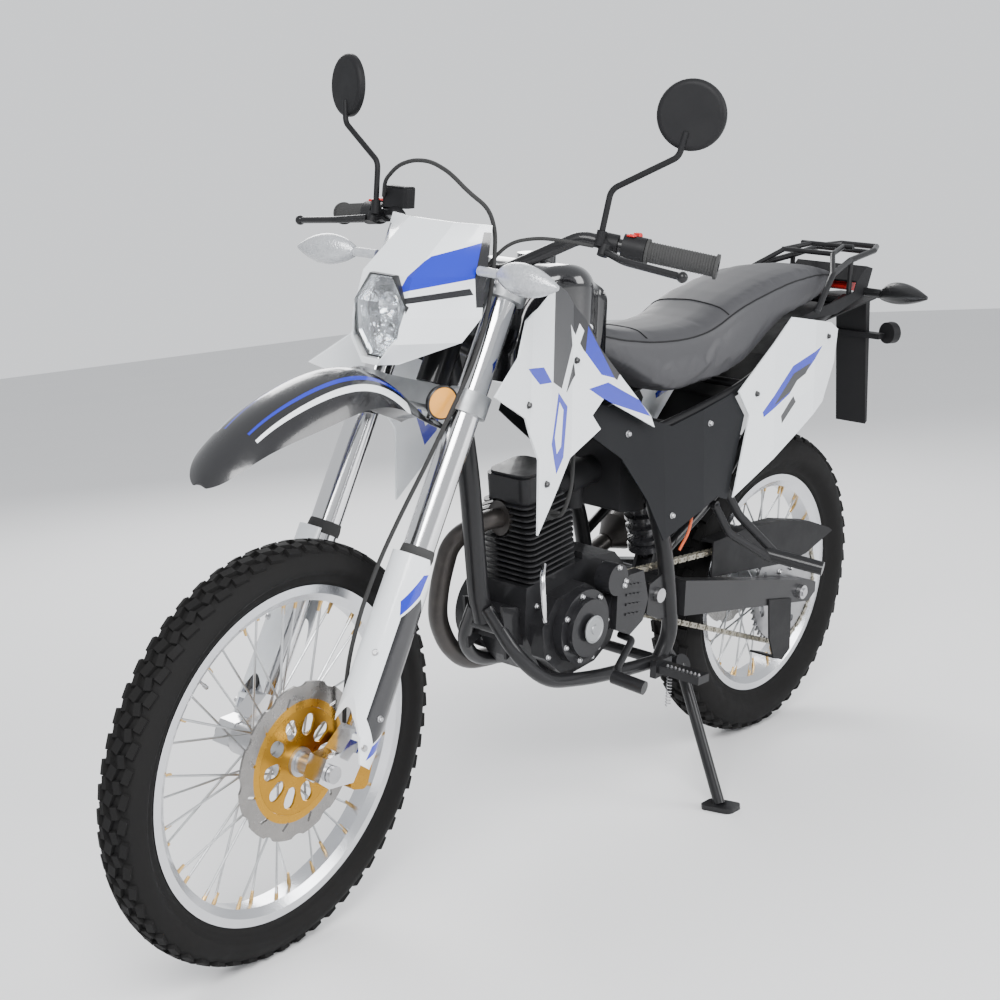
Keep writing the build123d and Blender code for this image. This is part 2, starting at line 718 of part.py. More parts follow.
arm_inner, arm_outer = arm_left
arm_outline = [(440, 452), (-40, 354), (-66, 344), (-66, 322), (-40, 306), (440, 380)]
with BuildPart() as swingarm:
    for inner, outer in ((arm_inner, arm_outer), (-arm_outer, -arm_inner)):
        slab(arm_outline, inner, outer)
    slab([(440, 450), (398, 442), (398, 386), (440, 382)], -arm_outer, arm_outer)
    slab([(pivot[0], pivot[1] + 18), (420, 448), (420, 392), (pivot[0], pivot[1] - 18)],
         -76, 76)
    for side in (-1, 1):
        inner, outer = sorted((side * (shock_eye + fit_gap), side * (shock_eye + 7)))
        slab([(380, 440), (394, 484), (416, 484), (432, 440)], inner, outer)
    rod((pivot[0], -78, pivot[1]), (pivot[0], 78, pivot[1]), 20)
    rod((pivot[0], -80, pivot[1]), (pivot[0], 80, pivot[1]), pivot_radius + running_gap,
        mode=Mode.SUBTRACT)
    wheel_bar(rear_centre, -130, 130, rear_axle_radius + running_gap, mode=Mode.SUBTRACT)

with BuildPart() as rear_axle:
    wheel_bar(rear_centre, -arm_outer - 14, arm_outer + 14, rear_axle_radius)
    for side in (-1, 1):
        wheel_bar(rear_centre, side * (arm_outer + fit_gap), side * (arm_outer + 10), 15)
    wheel_bar(rear_centre, sprocket_back + 11 + fit_gap, arm_inner - fit_gap, 17)
    wheel_bar(rear_centre, -arm_inner + fit_gap, -rear_disc_back - 14 - fit_gap, 17)

with BuildPart() as pivot_bolt:
    rod((pivot[0], -108, pivot[1]), (pivot[0], 108, pivot[1]), pivot_radius)
    for side in (-1, 1):
        bolt_face = plate_inner + plate_wall + fit_gap
        rod((pivot[0], side * bolt_face, pivot[1]), (pivot[0], side * 112, pivot[1]), 14)

spring_turns = 8
with BuildPart() as rear_shock:
    with BuildSketch(Plane(shock_low, x_dir=width_axis,
                           z_dir=width_axis.cross(shock_line))) as profile:
        with BuildLine():
            length = (shock_high - shock_low).length
            pitch = (length - 90) / spring_turns
            coils = [(0, 20)]
            for turn in range(spring_turns):
                low = 40 + turn * pitch
                coils += [(24, low), (36, low + 3), (36, low + 11), (24, low + 14)]
            Polyline((0, 0), (shock_eye, 0), (shock_eye, 16), (38, 24), (38, 36), *coils[1:],
                     (38, length - 46), (38, length - 34), (20, length - 30),
                     (14, length), (0, length), close=True)
        make_face()
    revolve(profile.sketch, axis=Axis(shock_low, shock_line))

# Engine
barrel_tilt = 8.0
barrel_plane = Plane((778, 0, 506), x_dir=(cos(radians(barrel_tilt)), 0,
                                           -sin(radians(barrel_tilt))),
                     z_dir=(sin(radians(barrel_tilt)), 0, cos(radians(barrel_tilt))))
barrel_low = 14.0
with BuildPart() as crankcase:
    slab([(566, 402), (590, 352), (640, 322), (720, 312), (776, 322), (806, 352),
          (848, 420), (852, 452), (850, 520), (700, 548), (650, 530),
          (592, 528), (562, 500)], -engine_right + 20, engine_left - 30)
    slab([(650, 360), (700, 338), (780, 340), (830, 380), (838, 440), (800, 486),
          (720, 500), (660, 470), (640, 410)], engine_left - 30, engine_left)
    fillet(crankcase.edges().filter_by(Axis.Y), 6)
    slab([(840, 472), (880, 462), (882, 412), (840, 398)], fit_gap - mount_left,
         mount_left - fit_gap)
    with BuildSketch(barrel_plane.offset(barrel_low)) as deck:
        Rectangle(180, 300)
    extrude(deck.sketch, amount=60, mode=Mode.SUBTRACT)

cover_centre = (738.0, 424.0)
with BuildPart() as engine_covers:
    for radius, low, high in ((70, engine_left + fit_gap, 104), (54, 100, 116), (18, 112, 124)):
        rod((*cover_centre[:1], low, cover_centre[1]), (cover_centre[0], high, cover_centre[1]),
            radius)
    rod((662, engine_left + fit_gap, 500), (662, 118, 500), 30)
    slab([(620, 500), (655, 470), (655, 400), (610, 380), (570, 400), (556, 440),
          (575, 500)], 90, 112)
    slab([(654, 470), (668, 440), (660, 400), (640, 395), (640, 480)], engine_left + fit_gap, 100)
    rod((760, -engine_right + 20 - fit_gap, 420), (760, -126, 420), 78)
    rod((640, -engine_right + 20 - fit_gap, 410), (640, -112, 410), 58)
    slab([(640, 352), (760, 342), (760, 498), (640, 468)], -112, -engine_right + 20 - fit_gap)

fin_pitch, fin_wall = 10.5, 3.5
barrel_half = 47.0
port = barrel_plane.from_local_coords((barrel_half + fit_gap, -14, 128))
inlet = barrel_plane.from_local_coords((-barrel_half - fit_gap, 0, 150))
fin_table = [(index, 132 - 3 * max(0, index - 9), 128 - 5 * max(0, index - 9))
             for index in range(14)]
with BuildPart() as cylinder:
    with BuildSketch(barrel_plane.offset(barrel_low + fit_gap)) as core:
        RectangleRounded(2 * barrel_half, 92, 20)
    extrude(core.sketch, amount=200)
    with BuildSketch(barrel_plane.offset(fin_pitch * 14 + 14)) as cover:
        RectangleRounded(104, 96, 16)
    extrude(cover.sketch, amount=48)
    for index, long, wide in fin_table:
        with BuildSketch(barrel_plane.offset(20 + fin_pitch * index)) as fin:
            RectangleRounded(long, wide, 16)
        extrude(fin.sketch, amount=fin_wall)
    rod(port, port + Vector(60, -12, 0), 36, mode=Mode.SUBTRACT)
    rod(inlet, inlet - barrel_plane.x_dir * 60, 34, mode=Mode.SUBTRACT)

header = [port + Vector(0.35, -0.07, 0), port + Vector(40, -8, 0), (926, -62, 590),
          (930, -84, 500), (912, -104, 430), (862, -122, 362), (800, -130, 314),
          (700, -132, 302), (610, -134, 316), (520, -142, 374), (440, -148, 432),
          (350, -134, 474)]
header_radius = 18.0
muffler_radius = 42.0
muffler_end = Vector(-40, -132, 610)
with BuildPart() as exhaust:
    tube([Vector(*point) if isinstance(point, tuple) else point for point in header],
         header_radius)
    rod(port + Vector(0.35, -0.07, 0), port + Vector(9, -1.8, 0), 32)
    can_start = Vector(*header[-1])
    can_line = (muffler_end - can_start).normalized()
    rod(can_start + can_line * 20, muffler_end, muffler_radius)
    with BuildSketch(Plane(can_start - can_line * 20, z_dir=can_line)) as throat:
        Circle(header_radius)
    with BuildSketch(Plane(can_start + can_line * 21, z_dir=can_line)) as mouth:
        Circle(muffler_radius)
    loft([throat.sketch.face(), mouth.sketch.face()])
    rod(muffler_end - can_line * 10, muffler_end + can_line * 30, 17)
    rod(muffler_end - can_line * 4, muffler_end + can_line * 31, 13, mode=Mode.SUBTRACT)

box_front = 608.0
with BuildPart() as intake:
    rod(inlet - barrel_plane.x_dir * 1.4, (694, 0, 672), 22)
    rod((694, 0, 672), (640, 0, 680), 30)
    rod((667, 0, 690), (667, 0, 620), 24)
    rod((645, 0, 680), (box_front + fit_gap, 0, 680), 27)

with BuildPart() as airbox:
    slab([(box_front, 610), (box_front, 742), (545, 756), (528, 700), (528, 600)], -70, 70)
    fillet(airbox.edges().filter_by(Axis.Y), 8)

# Drive chain
sprocket_line = Vector(output_shaft[0], 0, output_shaft[1]) - Vector(0, 0, rear_radius)
chain_slope = degrees(asin(sprocket_line.Z / sprocket_line.length))
chain_spread = degrees(asin((rear_pitch_radius - front_pitch_radius)
                            / sprocket_line.length))


def loop_point(rear, offset, angle):
    """Side-plane point on a chain circle, offset from its pitch line."""
    centre = (0, rear_radius) if rear else output_shaft
    radius = (rear_pitch_radius if rear else front_pitch_radius) + offset
    return (centre[0] + radius * cos(radians(angle)), centre[1] + radius * sin(radians(angle)))


def chain_loop(offset):
    """Closed outline of the chain, offset from the line through its pins."""
    top = chain_slope + 90 - chain_spread
    low = chain_slope - 90 + chain_spread
    with BuildLine() as outline:
        Line(loop_point(True, offset, top), loop_point(False, offset, top))
        ThreePointArc(loop_point(False, offset, top), loop_point(False, offset, chain_slope),
                      loop_point(False, offset, low))
        Line(loop_point(False, offset, low), loop_point(True, offset, low))
        ThreePointArc(loop_point(True, offset, low), loop_point(True, offset,
                      chain_slope + 180), loop_point(True, offset, top))
    return outline.line


def chain_band(half_height, outer, width):
    """Endless band about the pin line, from the outer face inwards."""
    with BuildSketch(side_plane(outer)) as band:
        make_face(chain_loop(half_height).edges())
        make_face(chain_loop(-half_height).edges(), mode=Mode.SUBTRACT)
    extrude(band.sketch, amount=width)


plate_gap = 4.8
with BuildPart() as chain:
    chain_band(chain_height / 2, chain_left + chain_width / 2, chain_width / 2 - plate_gap)
    chain_band(chain_height / 2, chain_left - plate_gap, chain_width / 2 - plate_gap)
    chain_band(roller_radius, chain_left + plate_gap, 2 * plate_gap)

with BuildPart() as output_sprocket:
    rod((output_shaft[0], chain_left - 3.5, output_shaft[1]),
        (output_shaft[0], chain_left + 3.5, output_shaft[1]),
        front_pitch_radius - roller_radius - tooth_gap)
    rod((output_shaft[0], engine_left - 30 + fit_gap, output_shaft[1]),
        (output_shaft[0], chain_left + 12, output_shaft[1]), 13)

guard_top = [(310, 500), (200, 505), (60, 500), (-70, 474)]
with BuildPart() as chain_guard:
    slab([(310, 425.9), (18, 398), (-60, 404), (-168, 436), (-150, 446), *guard_top[::-1]],
         89, 92)
    slab([*guard_top, *[(x + 1, z - 3.5) for x, z in guard_top[::-1]]], 62, 90)
    slab([(130, 346), (40, 330), (30, 214), (60, 196), (96, 210), (118, 260)],
         arm_outer + fit_gap, arm_outer + 4)
    slab([(58, 196), (96, 208), (94, 212), (56, 200)], 62, arm_outer + 4)

# Bodywork
tank_back = 704.0
tank_stations = [(926, 890, 948, 58, 14), (900, 882, 1008, 68, 20), (878, 878, 1048, 72, 26),
                 (846, 876, 1078, 96, 32), (760, 868, 1076, 106, 34), (tank_back, 862, 1042, 94, 30)]
with BuildPart() as tank:
    hull(tank_stations)
    rod((790, 0, 1060), (790, 0, 1096), 34)
    tunnel_half = tube_radius + 5 + fit_gap
    slab([(960, 840), (960, 980), (880, 960), (850, 926), (640, 830), (640, 820)],
         -tunnel_half, tunnel_half, mode=Mode.SUBTRACT)

tank_half = tank.part.bounding_box().max.Y
shroud_outline = [
    (1134, 913), (1050, 962), (1024, 1018), (980, 1033), (918, 1066), (880, 1050),
    (812, 996), (766, 942), (600, 802), (586, 778), (752, 853), (787, 828), (760, 800),
    (856, 763), (910, 705), (962, 651), (967, 780), (1018, 859)]
shroud_low = (640, [(560, 128), (700, 134), (850, 146), (930, 160), (1000, 173), (1136, 218)])
shroud_high = (1080, [(560, 120), (700, 124), (850, 132), (930, 157), (1000, 170),
                      (1136, 207)])
with BuildPart() as shrouds:
    sheet(shroud_low, shroud_high, 4)
    slab(shroud_outline, 0, 300, mode=Mode.INTERSECT)
    rod((797, tank_half + fit_gap, 978), (797, 129, 978), 9)
    mirror(about=Plane.XZ)

cover_outline = [(754, 846), (600, 795), (516, 769), (321, 809), (280, 760), (336, 600),
                 (372, 612), (546, 556), (590, 640), (658, 727), (722, 768), (770, 800)]
with BuildPart() as side_covers:
    sheet((540, [(270, 134), (420, 139), (540, 135), (780, 109)]),
          (860, [(270, 120), (420, 117), (540, 107), (780, 89)]))
    slab(cover_outline, 0, 300, mode=Mode.INTERSECT)
    mirror(about=Plane.XZ)

panel_outline = [(316, 812), (108, 938), (-86, 908), (-129, 889), (-114, 820),
                 (-53, 743), (73, 696), (208, 650), (334, 606), (326, 625), (276, 760)]
with BuildPart() as tail_panels:
    sheet((590, [(-140, 96), (0, 122), (180, 142), (340, 146)]),
          (940, [(-140, 84), (0, 108), (180, 120), (340, 124)]))
    slab(panel_outline, 0, 300, mode=Mode.INTERSECT)
    rod((60, 96 + strut_radius + fit_gap, 876), (60, 113, 876), 8)
    mirror(about=Plane.XZ)

tail_back = [(-198, 986), (-236, 1016), (-262, 1010)]
tail_left = 84.0
with BuildPart() as tail_cover:
    slab([(96, 918), (-188, 962), *tail_back, (-240, 955), (-120, 922)],
         tail_left, tail_left + panel_wall)
    mirror(about=Plane.XZ)
    slab([*tail_back, (-261, 1006), (-236, 1012), (-201, 982)], -tail_left - 1, tail_left + 1)

seat_stations = [(tank_back - fit_gap, 928, 966, 74, 16), (610, 880, 946, 92, 24), (500, 806, 938, 104, 30),
                 (380, 804, 944, 108, 30), (260, 850, 986, 112, 30), (100, 930, 1016, 106, 30),
                 (-60, 952, 1020, 82, 24), (-186, 976, 1002, 46, 12)]
with BuildPart() as seat:
    hull(seat_stations)
    slab([(720, 800), (720, 926), (600, 876), (520, 828), (420, 824), (260, 846), (80, 925),
          (-200, 970), (-200, 800)], -96, 96, mode=Mode.SUBTRACT)

carrier_front = -199.0 - fit_gap
inner_path = [(392, 560), (352, 676), (250, 776), (100, 850), (-80, 900), (-330, 936)]
with BuildPart() as rear_fender:
    wall = panel_wall
    slab([*inner_path, *[(x + wall, z + wall) for x, z in reversed(inner_path)]], -66, 66)
    slab([(-326, 934), (-334, 930), (-378, 640), (-386, 646), (-352, 938), (-340, 940)], -38, 38)
    with Locations(Location((-352, 0, 850))):
        Box(30, 150, 12)
    rod((-364, 80, 857), (-384, 86, 857), 24)
    slab([(carrier_front, 946), (-240, 949), (-340, 944), (-346, 932), (-240, 936),
          (carrier_front, 933)], -30, 30)

with BuildPart() as tail_light:
    slab([(-244, 1008.4), (-210, 966), (-246, 958), (-276, 992), (-268, 1004.4)], -56, 56)
    fillet(tail_light.edges().filter_by(Axis.Y), 4)

with BuildPart() as rear_indicators:
    make_blinkers((-236, tail_left + panel_wall + fit_gap + 0.9, 960), [
        (-232, 130, 960, 10, 12), (-224, 158, 966, 20, 22), (-214, 195, 968, 21, 22),
        (-200, 235, 968, 13, 12), (-192, 256, 968, 4, 4)])

rack_rail = [(14, 116, 942), (-70, 98, 1010), (-190, 70, 1030), (-300, 66, 1044),
             (-350, 44, 1048)]
rack_radius = 6.5
with BuildPart() as rack:
    tube(rack_rail, rack_radius, radii=[30, 30, 14])
    tube([(-70, 98, 1010), (-130, 60, 1046), (-210, 40, 1056)], rack_radius - 1, radii=[30])
    rod((-190, 72.2, 1030), (-190, 72.2, 935), rack_radius - 1)
    mirror(about=Plane.XZ)
    rod((-350, -46, 1048), (-350, 46, 1048), rack_radius)
    for ahead, up in ((-130, 1046), (-210, 1056), (-280, 1042)):
        rod((ahead, -64, up), (ahead, 64, up), rack_radius - 1)

peg_inner = spar_left - 5 + spar_radius + fit_gap
with BuildPart() as footrests:
    for side in (1, -1):
        inner, outer = sorted((side * peg_inner, side * (peg_inner + 14)))
        slab([(536, 312), (484, 310), (484, 280), (536, 276)], inner, outer)
        inner, outer = sorted((side * (peg_inner + 13), side * (peg_inner + 108)))
        slab([(530, 302), (494, 302), (494, 286), (530, 286)], inner, outer)

# Hanger bends: side, upper bend, lower bend; the right one clears the silencer
hanger_bends = [(1, (290, 134, 560), (330, 138, 532), 166),
                (-1, (300, 188, 580), (334, 189, 552), 186)]
strut_side = 101 + strut_radius + fit_gap
with BuildPart() as passenger_footrests:
    for side, upper, lower, peg_root in hanger_bends:
        turn = (lambda point: Vector(*point)) if side > 0 else (lambda point: flip(Vector(*point)))
        rod(turn((318, strut_side, 612)), turn((318, strut_side + 10, 612)), 10)
        rod(turn((352, strut_side, 588)), turn((352, strut_side + 10, 588)), 9)
        tube([turn((318, strut_side + 6, 612)), turn(upper), turn((212, peg_root + 12, 474))], 9, radii=[20])
        tube([turn((352, strut_side + 5, 588)), turn(lower), turn((228, peg_root + 14, 466))], 8, radii=[16])
        rod(turn((232, peg_root, 477)), turn((192, 276, 460)), 14)

with BuildPart() as foot_levers:
    tube([(604, 84.4, 372.6), (612, 120, 372.6), (690, 146, 344), (706, 158, 334)], 7,
         radii=[14, 8])
    rod((708, 150, 332), (698, 214, 324), 13)
    tube([(516, -peg_inner - 7, 269.3), (560, -166, 272), (620, -182, 284), (702, -182, 318)], 7,
         radii=[20, 40])
    rod((704, -158, 320), (704, -208, 320), 11)

with BuildPart() as rear_caliper:
    make_caliper(rear_centre, -rear_disc_right, rear_disc_radius, 62, -84, -34, 70, 40)
    slab([(24, 430), (66, 430), (104, 372), (84, 352), (40, 352)],
         fit_gap - arm_inner, 8 - arm_inner)

# Parked stance: steered, leaned to the left, then levelled so that both tyres touch z = 0

def leaned(point):
    """A point or direction after the lean."""
    return point.rotate(Axis.X, -lean)


def tyre_low(centre, axle, radius, crown):
    """Lowest point of a leaned tyre with a round crown."""
    return centre.Z - (radius - crown) * sqrt(1 - axle.Z ** 2) - crown


def steered(point):
    """A point of the steering after it is turned to rest."""
    return (point - steer_base).rotate(Axis((0, 0, 0), steer_up), steer_rest) + steer_base


front_axle_line = leaned(width_axis.rotate(Axis((0, 0, 0), steer_up), steer_rest))
rear_low = tyre_low(leaned(rear_centre), leaned(width_axis), rear_radius, rear_crown)
front_low = tyre_low(leaned(steered(front_centre)), front_axle_line, front_radius,
                     front_crown)
pitch_angle = degrees(asin((front_low - rear_low) / wheelbase))


def ground_up(ahead, left):
    """Height of the floor in the upright frame, below a point ahead and to the left."""
    floor = rear_low + ahead * sin(radians(pitch_angle))
    return (floor + left * sin(radians(lean))) / cos(radians(lean))


# Side stand, its foot flat on the floor
stand_high = Vector(*stand_pivot)
stand_low = Vector(*stand_foot, ground_up(*stand_foot))
leg_line = (stand_low - stand_high).normalized()
folded_line = Vector(-1, 0.08, 0.02).normalized()
stand_axis = leg_line.cross(folded_line).normalized()
stand_radius = 11.0
foot_wall = 10.0
with BuildPart() as side_stand:
    rod(stand_high, stand_low - leg_line * foot_wall, stand_radius)
    rod(stand_high - stand_axis * 7, stand_high + stand_axis * 9, 19)
    floor_up = Vector(0, 0, 1).rotate(Axis.Y, -pitch_angle).rotate(Axis.X, lean)
    with BuildSketch(Plane(stand_low, z_dir=floor_up)) as foot:
        RectangleRounded(70, 46, 12)
    extrude(foot.sketch, amount=foot_wall)

# Bodies, each with its pieces
bodies = {
    "front_wheel": {
        "front_tyre": front_tyre, "front_rim": front_rim, "front_hub": front_hub,
        "front_disc": front_disc, "front_disc_carrier": front_disc_carrier},
    "rear_wheel": {
        "rear_tyre": rear_tyre, "rear_rim": rear_rim, "rear_hub": rear_hub,
        "rear_disc": rear_disc, "rear_sprocket": rear_sprocket},
    "steering": {
        "fork_clamps": fork_clamps, "fork_tubes": fork_tubes, "fork_legs": fork_legs,
        "fork_guards": fork_guards, "front_axle": front_axle,
        "front_caliper": front_caliper, "front_fender": front_fender,
        "headlight_mask": headlight_mask, "headlight": headlight,
        "instrument": instrument, "handlebar": handlebar, "grips": grips,
        "controls": controls, "levers": levers, "mirrors": mirrors,
        "mirror_glass": mirror_glass, "front_indicators": front_indicators,
        "brake_hose": brake_hose, "clutch_cable": clutch_cable},
    "stand": {"side_stand": side_stand},
    "chassis": {
        "frame": frame, "subframe": subframe, "swingarm": swingarm,
        "rear_axle": rear_axle, "pivot_bolt": pivot_bolt, "rear_shock": rear_shock,
        "crankcase": crankcase, "engine_covers": engine_covers, "cylinder": cylinder,
        "exhaust": exhaust, "intake": intake, "airbox": airbox, "chain": chain,
        "output_sprocket": output_sprocket, "chain_guard": chain_guard, "tank": tank,
        "shrouds": shrouds, "side_covers": side_covers, "tail_panels": tail_panels,
        "tail_cover": tail_cover, "seat": seat, "rear_fender": rear_fender,
        "tail_light": tail_light, "rear_indicators": rear_indicators, "rack": rack,
        "footrests": footrests, "passenger_footrests": passenger_footrests,
        "foot_levers": foot_levers, "rear_caliper": rear_caliper}}
steered_bodies = ("front_wheel", "steering")


def parked(shape, turns):
    """A piece in the parked stance, before the origin moves to the middle of the base."""
    if turns:
        shape = shape.rotate(Axis(steer_base, steer_up), steer_rest)
    shape = shape.rotate(Axis.X, -lean).rotate(Axis.Y, pitch_angle)
    return shape.translate((0, 0, -rear_low))


placed = {name: parked(piece.part, body in steered_bodies)
          for body, pieces in bodies.items() for name, piece in pieces.items()}
boxes = [shape.bounding_box() for shape in placed.values()]
middle_x = (min(box.min.X for box in boxes) + max(box.max.X for box in boxes)) / 2
middle_y = (min(box.min.Y for box in boxes) + max(box.max.Y for box in boxes)) / 2
origin_shift = Vector(-middle_x, -middle_y, 0)

os.makedirs("parts", exist_ok=True)
for name, shape in placed.items():
    shape = shape.translate(origin_shift)
    shape.label = name
    export_step(shape, f"parts/{name}.step")
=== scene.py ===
"""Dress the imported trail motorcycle: finishes, fittings, seat pad, studio and camera.

Sizes are millimetres in the motorcycle's own upright axes: X runs forward from under
the rear axle, Y to the left and Z up. BikeSpace carries them into the parked frame.
"""
from __future__ import annotations

import json
import logging
import math
from dataclasses import dataclass, field
from enum import Enum
from typing import Iterable, Sequence

import bmesh
import bpy
from mathutils import Matrix, Vector
from mathutils.bvhtree import BVHTree

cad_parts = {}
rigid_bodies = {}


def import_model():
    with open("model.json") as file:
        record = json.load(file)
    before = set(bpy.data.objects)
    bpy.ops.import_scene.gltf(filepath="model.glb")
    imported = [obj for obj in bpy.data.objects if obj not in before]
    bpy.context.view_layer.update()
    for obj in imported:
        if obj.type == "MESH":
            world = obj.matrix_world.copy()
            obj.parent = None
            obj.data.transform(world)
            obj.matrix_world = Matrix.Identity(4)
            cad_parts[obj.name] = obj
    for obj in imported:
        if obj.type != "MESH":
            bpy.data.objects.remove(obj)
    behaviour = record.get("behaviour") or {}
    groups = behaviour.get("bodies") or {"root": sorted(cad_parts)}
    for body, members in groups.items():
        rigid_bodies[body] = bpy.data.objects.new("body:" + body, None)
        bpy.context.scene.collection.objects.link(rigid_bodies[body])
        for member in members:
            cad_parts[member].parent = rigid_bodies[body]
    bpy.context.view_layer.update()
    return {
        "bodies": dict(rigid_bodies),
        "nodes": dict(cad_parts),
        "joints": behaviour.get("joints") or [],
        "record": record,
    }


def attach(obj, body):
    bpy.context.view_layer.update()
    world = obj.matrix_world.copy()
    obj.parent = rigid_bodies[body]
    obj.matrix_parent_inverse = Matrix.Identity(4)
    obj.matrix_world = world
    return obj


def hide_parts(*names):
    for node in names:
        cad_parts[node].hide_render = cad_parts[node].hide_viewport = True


log = logging.getLogger("motorcycle")

Colour = tuple[float, float, float]
Socket = bpy.types.NodeSocket
AHEAD, LEFT, UP = Vector((1, 0, 0)), Vector((0, 1, 0)), Vector((0, 0, 1))
METRE = 1000.0
RELIEF_SHARE = 0.0004
COAT_ROUGH = 0.06
RAKE = math.radians(26.0)
WHITE: Colour = (0.83, 0.86, 0.88)
WHITE_SHADE: Colour = (0.78, 0.81, 0.84)
BLUE: Colour = (0.006, 0.018, 0.42)
INK: Colour = (0.012, 0.012, 0.014)
GOLD_TONE: Colour = (0.52, 0.27, 0.03)


class Zone(Enum):
    """The bodies that fittings ride on, by their names in the frame."""

    CHASSIS = "chassis"
    STEERING = "steering"
    FRONT_WHEEL = "front_wheel"
    REAR_WHEEL = "rear_wheel"
    STAND = "stand"


def spot(x: float, y: float, z: float) -> Vector:
    """Return a dataclass field that starts as a fresh point."""
    return field(default_factory=lambda: Vector((x, y, z)))


@dataclass
class BikeSpace:
    """The upright axes of the motorcycle, found again from the frame's joints."""

    frame: dict
    rear_radius: float = 336.0
    steer_rest: float = math.radians(4.45)
    chassis: Matrix = field(init=False)
    steering: Matrix = field(init=False)
    trees: dict[str, BVHTree] = field(default_factory=dict)

    def __post_init__(self) -> None:
        """Work out where the chassis and the turned steering stand."""
        wheel, head = self.joint("rear_wheel_spin"), self.joint("steering_turn")
        across = Vector(wheel["axis"]).normalized()
        across = across if across.y > 0 else -across
        steer = Vector(head["axis"]).normalized()
        normal = across.cross(steer).normalized()
        ahead = math.cos(RAKE) * normal - math.sin(RAKE) * steer
        up = math.sin(RAKE) * normal + math.cos(RAKE) * steer
        origin = Vector(wheel["pos_m"]) - up * self.rear_radius / METRE
        axes = Matrix((ahead, across, up)).transposed().to_4x4()
        self.chassis = Matrix.Translation(origin) @ axes @ Matrix.Scale(1 / METRE, 4)
        pivot = Matrix.Translation(Vector(head["pos_m"]))
        turn = Matrix.Rotation(self.steer_rest, 4, steer)
        self.steering = pivot @ turn @ pivot.inverted() @ self.chassis

    def joint(self, name: str) -> dict:
        """Return a joint of the frame by its name."""
        return next(joint for joint in self.frame["joints"] if joint["name"] == name)

    def placement(self, zone: Zone) -> Matrix:
        """Return the matrix from a body's upright millimetres to parked metres."""
        turned = zone in (Zone.STEERING, Zone.FRONT_WHEEL)
        return self.steering if turned else self.chassis

    def joint_point(self, name: str, zone: Zone) -> Vector:
        """Return where a joint stands in a body's upright axes."""
        return self.placement(zone).inverted() @ Vector(self.joint(name)["pos_m"])

    def touch(self, node: str, zone: Zone, start: Vector, heading: Vector,
              reach: float = 600.0) -> tuple[Vector, Vector] | None:
        """Find where a straight line first meets a frame piece.

        Args:
            node: The frame piece to meet.
            zone: The body it belongs to.
            start: Where the line starts.
            heading: Which way it runs.
            reach: How far it runs.

        Returns:
            The point and the outward normal, or None where the line misses.
        """
        if node not in self.trees:
            mesh = self.frame["nodes"][node].data
            self.trees[node] = BVHTree.FromPolygons(
                [vertex.co for vertex in mesh.vertices],
                [tuple(polygon.vertices) for polygon in mesh.polygons])
        placed = self.placement(zone)
        turn = placed.to_3x3().normalized()
        hit, normal, _, _ = self.trees[node].ray_cast(
            placed @ start, turn @ heading.normalized(), reach / METRE)
        if hit is None:
            return None
        facing = (turn.inverted() @ normal).normalized()
        if facing.dot(heading) > 0:
            facing.negate()
        return placed.inverted() @ hit, facing


# Finishes


class Graph:
    """A material's node tree, built node by node."""

    def __init__(self, material: bpy.types.Material) -> None:
        """Start an empty tree on the material."""
        material.use_nodes = True
        self.tree = material.node_tree
        self.tree.nodes.clear()

    def add(self, kind: str, inputs: dict | None = None, **settings: object) -> bpy.types.Node:
        """Add a node, set its options and fill its sockets.

        Args:
            kind: The node's type name after ShaderNode.
            inputs: Socket name or number to a value or to another node's output.
            settings: The node's own options.

        Returns:
            The new node.
        """
        node = self.tree.nodes.new("ShaderNode" + kind)
        for option, value in settings.items():
            setattr(node, option, value)
        for socket, value in (inputs or {}).items():
            if isinstance(value, Socket):
                self.tree.links.new(value, node.inputs[socket])
            else:
                node.inputs[socket].default_value = value
        return node

    def calc(self, operation: str, first: Socket, second: object) -> Socket:
        """Return one step of arithmetic on a socket."""
        return self.add("Math", {0: first, 1: second}, operation=operation).outputs[0]

    def vector(self, operation: str, first: Socket, second: object = (0, 0, 0)) -> bpy.types.Node:
        """Return one step of vector arithmetic on a socket."""
        return self.add("VectorMath", {0: first, 1: second}, operation=operation)

    def mix(self, factor: Socket, first: object, second: object) -> Socket:
        """Blend two colours.

        Args:
            factor: The socket that blends from the first to the second.
            first: A colour or a colour socket.
            second: A colour or a colour socket.

        Returns:
            The mixed colour's socket.
        """
        ends = {slot: value if isinstance(value, Socket) else (*value, 1.0)
                for slot, value in ((6, first), (7, second))}
        return self.add("Mix", {"Factor": factor, **ends}, data_type="RGBA").outputs[2]


@dataclass(frozen=True)
class Surface:
    """What a finish paints on: its nodes, the point on it and whose it is."""

    graph: Graph
    where: Socket
    space: BikeSpace
    zone: Zone


